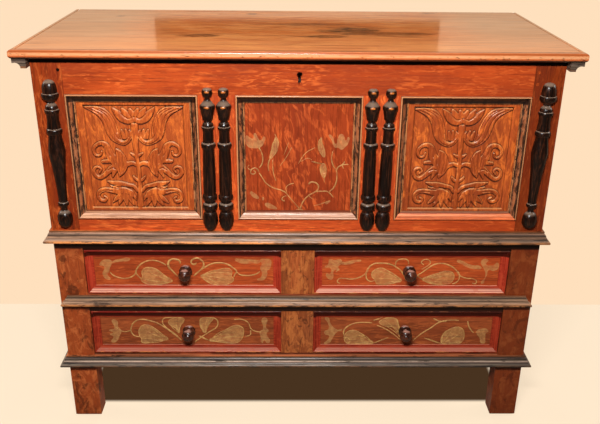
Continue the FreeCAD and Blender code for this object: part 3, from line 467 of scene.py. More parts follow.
def panelFrame(name, centre, half, shift, outer, foot):
    # black paint on a planed moulding: rubbed back to tan wood on both edges, patchy between; a painted
    # highlight on slopes that look up and on the bottom member, painted shadow on the top member
    finish, place = startFinish(name)
    across, lowest = frameAcross(place, centre, half)
    level = addNode(place, "MapRange", {0: across, 1: 0.0, 2: 19 * mm})
    bands = addNode(place, "ValToRGB", {0: level}, stops=[
        (0.0, outer), (0.07, "#c8885a"), (0.15, "#a86c44"), (0.21, "#120804"), (0.3, "#3a2116"),
        (0.4, "#a4603a"),
        (0.58, "#8c4a2a"), (0.72, "#38221a"), (0.8, "#20110b"), (0.87, "#c07844"), (1.0, "#8c4c28"),
    ])
    runs = blotches(place, (8, 60, 34), 0.475, 0.575, shift, 5, 0.75, 0.8)
    patches = blotches(place, (22, 22, 22), 0.46, 0.6, shift + 4, 5, 0.7, 0.8)
    long = blotches(place, (70, 40, 2.5), 0.44, 0.6, shift + 8, 4, 0.7, 0.4)
    inside = addNode(place, "MapRange", {0: level, 1: 0.22, 2: 0.32}, **soft)
    bottom = whereAll(partAlong(place, 2, 574, 571), lowest)
    colour = layStains(bands, [
        # painted highlight on slopes that look up
        (facingUp(place, 0.25, 0.6), "#96583a", 0.7),
        (whereAll(patches, inside), "#a06844", 0.5),
        (whereAll(runs, inside), "#120a06", 0.85),
        # painted shadow on the top member
        (whereAll(partAlong(place, 2, 823, 826), inside), "#140503", 0.9),
        # the bottom member's colours, lighter as a painted highlight
        (bottom, addNode(place, "ValToRGB", {0: level}, stops=foot), 1.0),
        (whereAll(long, bottom), "#6c3420", 0.5),
    ])
    rough = (patches, 0.34, 0.5)
    return closeFinish(finish, colour, rough, runs, 0.15, coat=0.15, coatRough=0.2, specular=0.25)


def redMoulding(name, low, high, pale, red, deep):
    # red lead paint over oak, polished by age: a painted pink highlight on slopes that look up, painted
    # shadow over the top member, orange where it is worn off
    finish, place = startFinish(name)
    sideways = awayFrom(addNode(place, "NewGeometry", {}, out=1), 0)
    sideways = addNode(place, "MapRange", {0: sideways, 1: 0.05, 2: 0.2})
    level = blotches(place, (90, 30, 2.2), 0.42, 0.6, low * 0.01, 4, 0.7)
    upright = blotches(place, (2.2, 30, 90), 0.42, 0.6, low * 0.01, 4, 0.7)
    fine = addNode(place, "Mix", {0: sideways, 2: level, 3: upright})  # streaks run along each member
    wear = blotches(place, (30, 30, 10), 0.52, 0.62, low * 0.02, 5, 0.7, 0.6)
    edge = partAlong(place, 2, low + 5, low + 1.5)
    topEdge = partAlong(place, 2, high - 2.5, high - 0.5)
    # the top of the painted shadow stays dark red towards the left
    cove = whereAll(partAlong(place, 2, high - 8, high - 4), partAlong(place, 0, 60, -420))
    reeds = whereAny(lineAt(place, 2, low + 6, 2.0), lineAt(place, 2, low + 12, 2.4))
    highlightSlope = facingUp(place, 0.1, 0.6)
    colour = layStains(red, [
        (fine, deep, 1.0),
        # painted pink highlight on slopes that look up, crossed by darker reed lines
        (highlightSlope, pale, 0.85),
        (whereAll(reeds, highlightSlope), "#98382a", 0.7),
        (wear, "#b4482a", 0.35),
        (partAlong(place, 2, low + 2.5, low + 1), "#c8381c", 0.7),
        (whereAll(edge, wear), "#e08a4c", 0.9),
        # painted shadow over the top member
        (partAlong(place, 2, high - 19, high - 15), "#2c0400", 0.93),
        (cove, "#7c1c12", 0.8),
        (whereAll(topEdge, wear), "#c07850", 0.3),
    ])
    rough = (fine, 0.34, 0.5)
    return closeFinish(finish, colour, rough, fine, 0.12, coat=0.1, coatRough=0.2, specular=0.08)


def turnedKnobWood():
    # fruitwood turned on a lathe and darkened by hands: near black-brown with a bright polish, and a painted
    # highlight on the tops that look up
    finish, place = startFinish("polishedFruitwood")
    cloud = blotches(place, (12, 12, 12), 0.42, 0.64, 2, 4, 0.6, 0.6)
    rings = blotches(place, (30, 1.8, 30), 0.4, 0.62, 5, 2)
    # painted highlight on the tops that look up
    colour = layStains("#2c120a", [(cloud, "#542614", 1.0), (facingUp(place, 0.72, 0.95), "#c08c7a", 0.75)])
    rough = (cloud, 0.26, 0.4)
    return closeFinish(finish, colour, rough, rings, 0.08, coat=0.3, coatRough=0.18, specular=0.25)


def wroughtIron():
    # forged and filed iron gone brown-black: metal with rust bloom
    finish, place = startFinish("forgedIron")
    rust = blotches(place, (9, 9, 9), 0.48, 0.66, 1, 4, 0.65)
    pits = blotches(place, (2, 2, 2), 0.4, 0.7, 2, 2)
    colour = layStains("#4a4744", [(rust, "#5a3420", 1.0)])
    return closeFinish(finish, colour, (rust, 0.42, 0.75), pits, 0.1, metallic=0.85)


def ochrePaint(name, along, look, cover):
    # earth pigment in thin size or oil, brushed by hand: matt, and gone through to the wood in places
    finish, place = startFinish(name)
    wood, _, _, streak = oakFigure(place, along, look)
    body = blotches(place, (14, 14, 14), 0.4, 0.62, 2, 4, 0.65, 0.5)
    gone = blotches(place, (11, 11, 11), 0.48, 0.62, 6, 5, 0.75, 0.4)
    paint = layStains("#a87c40", [(body, "#cc9c58", 1.0), (gone, wood, 0.6), (streak, wood, 0.4)])
    colour = addNode(place, "Mix", {0: cover, 6: wood, 7: paint}, out=2, data_type="RGBA")
    rough = (gone, 0.62, 0.48)
    return closeFinish(finish, colour, rough, body, 0.1, coat=0.15, coatRough=0.25)


centreRed = {
    "mid": "#943818", "low": "#7e2c12", "bright": "#cc5c2a", "dark": "#622008",
    "flame": 0.75, "flameMm": (42, 15), "slant": 0.3,
}
drawerReds = {
    "upper": {"mid": "#b2491f", "low": "#983c19", "bright": "#ce6430", "dark": "#6c2c12", "flame": 0.6},
    # the lower drawers' look is darker: painted falloff of the light towards the floor
    "lower": {"mid": "#9a4a26", "low": "#7f3a1c", "bright": "#b8602f", "dark": "#562710", "flame": 0.6},
}
panelTan = {
    "mid": "#b25424", "low": "#9c431a", "bright": "#e07430", "dark": "#74300f",
    "flame": 0.6, "flameMm": (34, 5), "pore": 0.45, "streak": 0.55,
}
panelTans = {
    "left": panelTan,
    "right": {
        **panelTan, "mid": "#a64a20", "low": "#8c3b18", "bright": "#d86a2c", "dark": "#692a0e", "shift": 8.0,
    },
}
lidLook = {
    "mid": "#d87a38", "low": "#c8682c", "bright": "#ea964e", "dark": "#7c3c18",
    "flame": 0.5, "rough": 0.36, "shift": 2.0, "shine": {"coat": 0.6, "coatRough": 0.13, "specular": 0.1},
}
plaqueLook = {
    "mid": "#a04e26", "low": "#84401d", "bright": "#bd6a34", "dark": "#5c2a12", "flame": 0.6, "shift": 1.0,
}
tones = {  # from the underside of each moulding up to its top face: the grey and light bands are a painted sheen on the black paint, the dark stops at the underside painted shade, the orange stops bare wood
    "waist": [
        (0.0, "#8a5028"), (0.1, "#8a5632"), (0.18, "#9a6c4e"), (0.265, "#ae8a70"), (0.33, "#90725c"),
        (0.39, "#84604c"),
        (0.465, "#c09474"), (0.53, "#b48a6e"), (0.6, "#7c5c48"), (0.675, "#5a4030"), (0.75, "#94705a"),
        (0.82, "#b48468"), (0.87, "#ba8058"), (0.97, "#985a34"), (1.0, "#c8642e"),
    ],
    "rail": [
        (0.0, "#1e1008"), (0.1, "#2c180e"), (0.16, "#543422"), (0.26, "#b07a54"), (0.36, "#c09676"),
        (0.44, "#98785e"),
        (0.5, "#80604c"), (0.6, "#b89070"), (0.68, "#a48266"), (0.76, "#5c4636"), (0.84, "#5c4432"),
        (0.94, "#ac886c"), (1.0, "#9a603e"),
    ],
    "base": [
        (0.0, "#080402"), (0.12, "#120c08"), (0.17, "#665448"), (0.28, "#80705f"), (0.33, "#665446"),
        (0.37, "#2c2018"),
        (0.44, "#907466"), (0.52, "#d4b8a2"), (0.57, "#a08a78"), (0.62, "#4c4034"), (0.7, "#4e4236"),
        (0.77, "#685248"), (0.84, "#4a3a2e"), (0.9, "#7c5038"), (0.96, "#985a34"), (1.0, "#b8683e"),
    ],
    "cleat": [
        (0.0, "#241812"), (0.2, "#5c4a40"), (0.26, "#1c120c"), (0.32, "#7a6656"), (0.48, "#64503f"),
        (0.54, "#140c08"),
        (0.6, "#7a6656"), (0.8, "#5c4a40"), (0.86, "#140c08"), (0.92, "#64503f"), (1.0, "#5c4a40"),
    ],
}
panelFrames = {  # middle, half width, outside edge's colour (a painted shadow line on the outer frames), and the bottom member's colours from that edge in, lighter as a painted highlight
    "left": (-chest["panelAcross"], 141, "#2c120a", [
        (0.0, "#140603"), (0.08, "#30140a"), (0.15, "#b8683c"), (0.25, "#dca684"), (0.36, "#b8845e"),
        (0.46, "#daa482"),
        (0.6, "#d8a07c"), (0.7, "#a8704c"), (0.8, "#b07c58"), (0.92, "#7c3a1c"), (1.0, "#8a4424"),
    ]),
    "centre": (0, 137, "#b06c40", [
        (0.0, "#3a160a"), (0.06, "#5a2614"), (0.11, "#b4623a"), (0.18, "#e0b698"), (0.27, "#a8745a"),
        (0.36, "#c89c80"),
        (0.48, "#cc9476"), (0.58, "#b88462"), (0.66, "#c08a66"), (0.76, "#8a5030"), (0.88, "#6a2e16"),
        (1.0, "#6a2810"),
    ]),
    "right": (chest["panelAcross"], 141, "#2c120a", [
        (0.0, "#140603"), (0.1, "#d06030"), (0.28, "#ea7a48"), (0.37, "#a44a24"), (0.45, "#ec8656"),
        (0.64, "#e67c4c"),
        (0.73, "#944424"), (0.8, "#70341c"), (0.9, "#a8765a"), (1.0, "#7a4024"),
    ]),
}
ebony, knobPolish, iron = ebonised(), turnedKnobWood(), wroughtIron()
rawX, rawY = rawOak("x", 0.0), rawOak("y", 3.0)
stile = varnishedOak("stileOak", "z", stileRed, stileStainsAndShadow)
lowRail = varnishedOak("lowRailOak", "x", {**legBrown, "shift": 6.0}, lowRailStainsAndShadow)
finishes = {
    "front_top_rail": varnishedOak("topRailOak", "x", topRed, topRailStainsAndShadow),
    "front_middle_rail": varnishedOak("middleRailOak", "x", {**railRed, "shift": 5.0}, middleRailStainsAndShadow),
    "front_drawer_rail": lowRail,
    "front_bottom_rail": lowRail,
    "painted_panel_centre": varnishedOak("centrePanelOak", "z", centreRed),
    "lid_board": varnishedOak("lidOak", "x", lidLook, lidStainsAndPaintedLight),
    "joint_pegs": varnishedOak("pegOak", "y", stileRed, pegHoleShade),
    "upper_drawer_plaque": varnishedOak("upperPlaqueOak", "z", plaqueLook, plaqueStains),
    # the lower plaque is darker: painted falloff of the light towards the floor
    "lower_drawer_plaque": varnishedOak(
        "lowerPlaqueOak", "z", {**plaqueLook, "mid": "#8c4a28", "shift": 7.0}, plaqueStains
    ),
    "upper_drawer_mouldings": redMoulding("upperRedPaint", 357.5, 472.5, "#e8b094", "#b03a24", "#8a2414"),
    # the lower frames' red and painted highlight are darker: painted falloff of the light towards the floor
    "lower_drawer_mouldings": redMoulding("lowerRedPaint", 190.5, 308.5, "#b87c66", "#9c341e", "#781e10"),
    "waist_moulding": blackMoulding("waistBlackPaint", 497, 28, 1.0, tones["waist"], fade=0.65),
    "drawer_rail_moulding": blackMoulding("railBlackPaint", 331, 23, 0.7, tones["rail"], fade=0.3, gap=0.2),
    "base_moulding": blackMoulding("baseBlackPaint", 158, 26, 0.12, tones["base"], fade=0.4),
    "lock_case": iron,
    "lock_bolt": iron,
    "lid_staple": iron,
    "chest_floor": rawY,
}
pairFinishes = {
    "front_stile": stile,
    "rear_stile": stile,
    "front_muntin": varnishedOak("muntinOak", "z", {**railRed, "mid": "#b9481e", "shift": 3.0}),
    "side_rails": varnishedOak("sideRailOak", "y", {**stileRed, "shift": 4.0}),
    "side_panels": varnishedOak("sidePanelOak", "z", {**stileRed, "shift": 9.0}),
    "lid_cleat": blackMoulding("cleatPaint", 902, 20, 0.2, tones["cleat"]),
    "corner_spindle": ebony,
    "muntin_spindles": ebony,
}
for name, finish in pairFinishes.items():
    finishes.update({name + "_left": finish, name + "_right": finish})
for level, look in drawerReds.items():
    finishes[level + "_drawer_front"] = varnishedOak(level + "DrawerOak", "x", look)
    finishes[level + "_drawer_knobs"] = knobPolish
for side, (x, half, outer, foot) in panelFrames.items():
    finishes["panel_moulding_" + side] = panelFrame(
        side + "PanelFramePaint", (x, chest["panelUp"]), (half, 145), 3.0 + x * 0.01, outer, foot
    )
for name, node in cadNodes.items():
    if name not in finishes:  # boards and runners that never had a finish
        finishes[name] = rawY if "side" in name or "runner" in name else rawX
    for slot in node.material_slots:
        slot.material = finishes[name]
print("finishes laid on", len(finishes), "solids")


def addPiece(name, bm, finish, smooth=True):
    mesh = bpy.data.meshes.new(name)
    bm.to_mesh(mesh)
    bm.free()
    for face in mesh.polygons:
        face.use_smooth = smooth
    mesh.materials.append(finish)
    piece = bpy.data.objects.new(name, mesh)
    bpy.context.collection.objects.link(piece)
    return piece


def keepPiece(name, bm, finish, body, smooth=True):
    piece = addPiece(name, bm, finish, smooth)
    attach(piece, body)
    return piece


def alongStroke(points, step):
    # points closely spaced on a smooth line through the given ones, radius included
    given = np.array(points, float)
    ends = np.vstack([2 * given[0] - given[1], given, 2 * given[-1] - given[-2]])
    found = []
    for i in range(len(given) - 1):
        a, b, c, d = ends[i : i + 4]
        t = np.linspace(0, 1, max(2, int(np.hypot(*(c - b)[:2]) / step)), endpoint=False)[:, None]
        bend = 2 * b + (c - a) * t + (2 * a - 5 * b + 4 * c - d) * t**2
        found.append(0.5 * (bend + (3 * b - a - 3 * c + d) * t**3))
    return np.vstack(found + [given[-1:]])


carving = {
    "pitchMm": 1.0,  # grid of the carved face
    "stepMm": 1.2,  # spacing of points along a form
    "reachMm": 9,  # distance past a form's edge that is still measured from it
    "sunkMm": 3.0,  # the ground is cut back this far
    "border": (108.5, -121.0, 118.5),  # half width, foot and head of the sunk ground
    "shelterMm": 3.0,  # reach of the painted shadow under each raised form
    "veinMm": 2.4,
    "veinDepthMm": 1.7,
    "driftMm": 0.8,  # unevenness of hand work
    "scoreMm": 0.5,  # a line scribed inside the border
    "toolMm": 0.14,  # waviness left by the gouge
    "insetMm": 0.15,  # whole face, so that nothing stands past the board
    # raised forms of one half: across from the middle, up from the middle, radius
    "forms": [
        [(105, 114, 2), (87, 110, 7), (68, 101, 12), (56, 84, 13.5), (51, 66, 14), (47, 50, 12),
         (39, 38, 7), (27, 33, 5.5), (16, 38, 4.5), (9, 49, 4), (6, 58, 3)],
        [(28, 62, 2.5), (26, 53, 4.5), (24, 45, 5)],
        [(19, 63, 2.5), (17, 53, 4.5), (16, 45, 5)],
        [(11, 61, 2), (10, 53, 3)],
        [(44, 112, 2), (35, 101, 7), (25, 90, 9), (13, 84, 8), (4, 86, 7)],
        [(24, 110, 3.5), (18, 100, 7), (11, 92, 8)],
        [(8, 108, 4), (4, 98, 7)],
        [(3, 74, 5), (1, 64, 7), (0, 40, 7), (0, 10, 5.5), (0, -21, 5), (0, -54, 4.5), (0, -86, 5),
         (0, -117, 7)],
        [(2, 3, 3.5), (8, 5, 3.5), (14, 9, 1.8)],
        [(3, -18, 4.5), (13, -14, 4.5), (22, -14, 3.5)],
        [(2, -56, 3.5), (9, -51, 3.5), (13, -45, 2)],
        [(78, 12, 2.4), (81, 4, 2.8), (89, 3, 3), (94, 10, 3.3), (93, 21, 3.8), (85, 29, 4.5),
         (75, 31, 5.5), (67, 25, 7), (63, 12, 8.5), (58, 0, 10), (48, -11, 12)],
        [(46, 18, 2), (41, 8, 8), (37, -7, 12), (36, -21, 11.5), (38, -33, 8), (42, -45, 2)],
        [(31, -21, 6), (23, -17, 5), (15, -15, 4.5)],
        [(76, -11, 4), (64, -10, 5)],
        [(85, -37, 2.4), (81, -30, 2.6), (87, -24, 3), (95, -27, 3.6), (98, -37, 4.2), (93, -46, 4.6),
         (84, -49, 5), (74, -43, 5.5), (64, -33, 6.5), (53, -24, 8)],
        [(49, -28, 6), (54, -38, 4.5), (57, -48, 1.5)],
        [(6, -80, 3.5), (13, -70, 4.5), (27, -66, 5), (43, -63, 6), (56, -62, 5), (69, -58, 1.5)],
        [(43, -69, 5), (55, -72, 3), (63, -69, 1.5)],
        [(36, -85, 14), (24, -89, 12)],
        [(46, -83, 8), (60, -81, 6.5), (77, -78, 5), (89, -82, 5), (95, -91, 4.5), (92, -102, 4.5),
         (82, -106, 4), (76, -100, 3), (81, -95, 2.4)],
        [(24, -95, 6), (18, -107, 4.5), (14, -117, 1.5)],
        [(31, -95, 6), (31, -107, 5), (31, -118, 1.5)],
        [(37, -93, 6), (44, -105, 5), (49, -115, 1.5)],
        [(43, -91, 6), (54, -102, 4.5), (62, -109, 1.5)],
        [(19, -89, 5), (12, -95, 3.5), (9, -103, 1.5)],
    ],
    # veins cut into them
    "veins": [
        [(97, 111), (76, 101), (64, 86), (58, 68), (54, 51), (45, 37), (30, 30), (17, 34), (8, 46)],
        [(86, 113), (65, 102), (53, 86), (48, 68), (44, 53), (37, 43), (27, 38), (17, 43), (12, 55)],
        [(72, 111), (55, 100), (46, 85), (41, 70), (38, 57)],
        [(23, 59), (21, 45)],
        [(14, 60), (13, 47)],
        [(33, 108), (24, 97), (14, 89), (6, 90)],
        [(15, 108), (10, 99), (6, 92)],
        [(60, 22), (53, 4), (50, -14)],
        [(44, 13), (43, -10), (43, -36)],
        [(37, 10), (34, -10), (37, -36)],
        [(29, -1), (28, -18), (33, -33)],
        [(66, -31), (57, -26), (50, -28)],
        [(9, -82), (17, -73), (34, -72), (50, -71)],
        [(60, -81), (77, -80), (88, -85), (92, -93)],
        [(30, -88), (33, -108)],
        [(39, -88), (47, -105)],
        [(24, -90), (20, -105)],
        [(68, 27), (66, 14), (60, 3)],
    ],
}


def nearStrokes(u, v, strokes):
    # for each place, the distance to the nearest edge of the strokes and the height of their rounded backs
    gapBest = np.full(len(u), 1e3, np.float32)
    backBest = np.zeros(len(u), np.float32)
    for stroke in strokes:
        given = stroke if len(stroke[0]) == 3 else [(a, b, 0.0) for a, b in stroke]
        line = alongStroke(given, carving["stepMm"])
        reach = line[:, 2].max() + carving["reachMm"]
        near = np.flatnonzero(
            (u > line[:, 0].min() - reach) & (u < line[:, 0].max() + reach)
            & (v > line[:, 1].min() - reach) & (v < line[:, 1].max() + reach)
        )
        away = np.hypot(u[near, None] - line[None, :, 0], v[near, None] - line[None, :, 1])
        radius = np.maximum(line[None, :, 2], 0.01)
        gapBest[near] = np.minimum(gapBest[near], (away - radius).min(axis=1))
        back = np.sqrt(np.maximum(0, 1 - (away / radius) ** 2)) * np.minimum(1, 0.45 + radius / 12)
        backBest[near] = np.maximum(backBest[near], back.max(axis=1))
    return gapBest, backBest


def smoothStep(value, start, end):
    t = np.clip((value - start) / (end - start), 0, 1)
    return t * t * (3 - 2 * t)


def cutCarving(u, v, rng):
    # depth of the cuts in millimetres, and the masks that the finish reads, for places on a panel's face
    waves, phases = rng.uniform(0.02, 0.05, (4, 2)), rng.uniform(0, 6.3, 4)
    swell = [np.sin(u * wave[0] + v * wave[1] + phase) for wave, phase in zip(waves, phases)]
    drift = [carving["driftMm"] * (swell[i] + swell[i + 1]) for i in (0, 2)]
    us, vs = np.abs(u + drift[0]), v + drift[1]  # both halves alike but for the hand that cut them
    form, back = nearStrokes(us, vs, carving["forms"])
    vein, _ = nearStrokes(us, vs, carving["veins"])
    wide, foot, head = carving["border"]
    margin = np.maximum(np.abs(u) - wide, np.maximum(foot - v, v - head))
    rim = smoothStep(margin, -0.6, 0.8)
    raised = np.maximum(back * 0.6 + 0.4 * smoothStep(form, 0.3, -1.2), rim)
    ditch = np.exp(-((np.maximum(form, 0) / 1.4) ** 2)) * (1 - smoothStep(form, 0.2, -0.6)) * (1 - rim)
    score = np.exp(-(((margin + 2.0) / 1.1) ** 2))
    cutVein = (1 - smoothStep(vein, 0, carving["veinMm"])) * smoothStep(form, 0, -2.0)
    tool = np.sin(u * 0.9 + 2 * np.sin(v * 0.21)) * np.sin(v * 0.7 + 2 * np.sin(u * 0.17))
    tool = tool * carving["toolMm"] * (1 - rim)
    depth = carving["sunkMm"] * (1 - raised) + ditch + cutVein * carving["veinDepthMm"]
    depth = depth + score * carving["scoreMm"] + tool + carving["insetMm"]
    # crest: a painted highlight band just inside the edge of each raised form
    crest = smoothStep(form, 0.3, -0.6) * (1 - smoothStep(form, -1.0, -2.6))
    # shade: painted shade, darker on the sunk ground, in the ditches, the veins and the scribed line
    shade = 0.6 + 0.4 * smoothStep(form, 0.5, -2) - ditch * 0.75 - cutVein * 0.8 - score * 0.6
    # painted shadow below each raised form
    above, _ = nearStrokes(us, vs + carving["shelterMm"], carving["forms"])
    shelter = smoothStep(above, 0.4, -1.2) * smoothStep(form, -0.9, 0.3) * (1 - rim)
    return depth, {"carving": np.where(rim > 0.5, 1.0, shade), "rim": crest, "shelter": shelter}


def carvedPanel(side, seed):
    node = "carved_panel_" + side
    low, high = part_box(node)
    centre = (low + high) / 2
    width, tall, thick = (high[0] - low[0]) / mm, (high[2] - low[2]) / mm, high[1] - low[1]
    bm = bmesh.new()
    across, up = round(width / carving["pitchMm"]), round(tall / carving["pitchMm"])
    stretch = Matrix.Translation((centre[0], low[1], centre[2])) @ uprightTurn
    stretch = stretch @ Matrix.Diagonal((width * mm, tall * mm, 1, 1))
    bmesh.ops.create_grid(bm, x_segments=across, y_segments=up, size=0.5, matrix=stretch)
    places = np.array([v.co[:] for v in bm.verts])
    u, v = (places[:, 0] - centre[0]) / mm, (places[:, 2] - chest["panelUp"] * mm) / mm
    depth, painted = cutCarving(u, v, np.random.default_rng(seed))
    layers = {name: bm.verts.layers.float.new(name) for name in painted}
    for i, vert in enumerate(bm.verts):
        vert.co.y += float(depth[i]) * mm
        for name, values in painted.items():
            vert[layers[name]] = float(values[i])
    skirt = bmesh.ops.extrude_edge_only(bm, edges=[e for e in bm.edges if e.is_boundary])["geom"]
    for vert in skirt:
        if isinstance(vert, bmesh.types.BMVert):
            vert.co.y = low[1] + thick
            vert[layers["carving"]] = 1.0
    bmesh.ops.contextual_create(bm, geom=[e for e in bm.edges if e.is_boundary])
    bmesh.ops.recalc_face_normals(bm, faces=bm.faces)
    finish = varnishedOak("carvedOak" + side.title(), "z", panelTans[side], carvedStainsAndPaintedLight)
    piece = keepPiece("carvedPanel" + side.title(), bm, finish, "case")
    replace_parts(piece, node)


carvedPanel("left", 5)
carvedPanel("right", 12)
print("carved panels cut")

centreVines = {  # across and up from the panel's middle, and the radius of a stroke there
    "strokes": [
        [(-5, -125, 1.2), (3, -124, 1.6), (11, -126, 1.2)],
        [(3, -123, 1.6), (-9, -108, 1.3), (-21, -93, 1.3), (-31, -81, 1.5), (-42, -76, 1.4),
         (-55, -72, 1.4), (-73, -60, 1.4), (-82, -46, 1.3), (-89, -35, 1.3)],
        [(-89, -33, 1.5), (-93, -26, 1.6), (-99, -24, 1.6), (-107, -30, 1.4), (-106, -37, 1.3),
         (-100, -38, 1.3), (-97, -33, 1.3), (-101, -30, 1.2)],
        [(-107, -29, 1.0), (-114, -22, 1.0), (-110, -16, 0.8)],
        [(-88, -23, 1.2), (-82, -14, 1.6), (-80, 0, 1.5), (-83, 14, 1.5), (-88, 24, 1.5)],
        [(-27, -82, 1.0), (-28, -70, 1.0), (-21, -63, 1.1), (-11, -60, 1.1)],
        [(-27, -90, 0.9), (-35, -94, 1.2), (-37, -100, 1.6), (-31, -104, 1.5)],
        [(4, -123, 1.6), (11, -104, 1.5), (24, -89, 1.5), (37, -81, 1.7), (45, -71, 1.8), (43, -62, 1.8),
         (34, -57, 1.8), (26, -58, 1.9), (23, -62, 2.0)],
        [(39, -80, 1.4), (53, -79, 1.5), (66, -80, 1.5), (73, -86, 1.3), (80, -94, 1.0)],
        [(70, -80, 1.5), (79, -71, 1.7), (85, -56, 1.7), (86, -40, 1.6), (84, -28, 1.6), (77, -17, 1.5),
         (73, -2, 1.4), (75, 16, 1.2)],
        [(85, -29, 1.6), (88, -21, 1.6), (97, -15, 1.6), (103, -7, 1.0)],
        [(97, -15, 1.4), (112, -14, 0.9)],
        [(97, -15, 1.4), (100, -24, 0.9)],
        [(24, -91, 0.8), (33, -99, 0.8)],
        [(-1, -13, 0.6), (15, 12, 0.8), (36, 25, 0.8)],
        [(4, -8, 0.5), (22, 0, 0.6), (29, -4, 0.5)],
        [(-42, -19, 0.7), (-28, 2, 0.9), (-16, 25, 0.9)],
        [(-33, 7, 0.5), (-23, 36, 0.7)],
        [(-62, 4, 1.8), (-68, -16, 1.4), (-67, -31, 1.0)],
        [(-58, -4, 1.0), (-57, -33, 1.2), (-51, -55, 0.7)],
        [(-53, 56, 0.8), (-49, 45, 1.6)],
        [(57, -34, 2.0), (58, -58, 0.5)],
        [(35, -115, 0.7), (52, -110, 0.8), (62, -106, 1.0)],
    ],
    "leaves": [
        [(-116, 52), (-112, 26), (-101, 23), (-85, 25), (-77, 36), (-76, 50), (-85, 41), (-91, 49),
         (-97, 58), (-102, 45), (-108, 48)],
        [(-51, 49), (-45, 38), (-48, 19), (-55, 7), (-63, -2), (-64, 4), (-60, 19), (-55, 34)],
        [(66, 55), (75, 49), (82, 34), (85, 46), (93, 57), (100, 50), (103, 42), (109, 50), (109, 36),
         (101, 25), (94, 20), (87, 25), (80, 25), (72, 42)],
        [(50, 48), (44, 40), (43, 25), (48, 12), (56, 3), (58, 12), (54, 27), (49, 37)],
        [(52, -13), (48, -21), (49, -32), (54, -44), (59, -44), (62, -30), (60, -19), (57, -13)],
        [(-109, -81), (-98, -85), (-93, -90), (-90, -97), (-98, -97), (-105, -92)],
        [(-76, -110), (-68, -108), (-59, -113), (-49, -123), (-59, -123), (-71, -119)],
        [(-81, -93), (-78, -98), (-81, -102), (-83, -99)],
        [(61, -108), (66, -103), (73, -102), (70, -107), (64, -111)],
    ],
    "hatch": [0, 5, 0, 5, 5, 0, 0, 0, 0],  # brush lines that fan through each leaf
    "dots": [(-90, -111, 2.6), (89, -116, 2.2), (46, -5, 2.9), (-37, 23, 1.0), (-30, 17, 0.9),
             (-38, 5, 1.0), (5, -14, 1.2),
             (17, -16, 1.2), (28, -3, 1.0), (-22, -11, 2.0), (77, 18, 1.2), (99, -88, 1.4), (-24, 24, 1.0)],
}
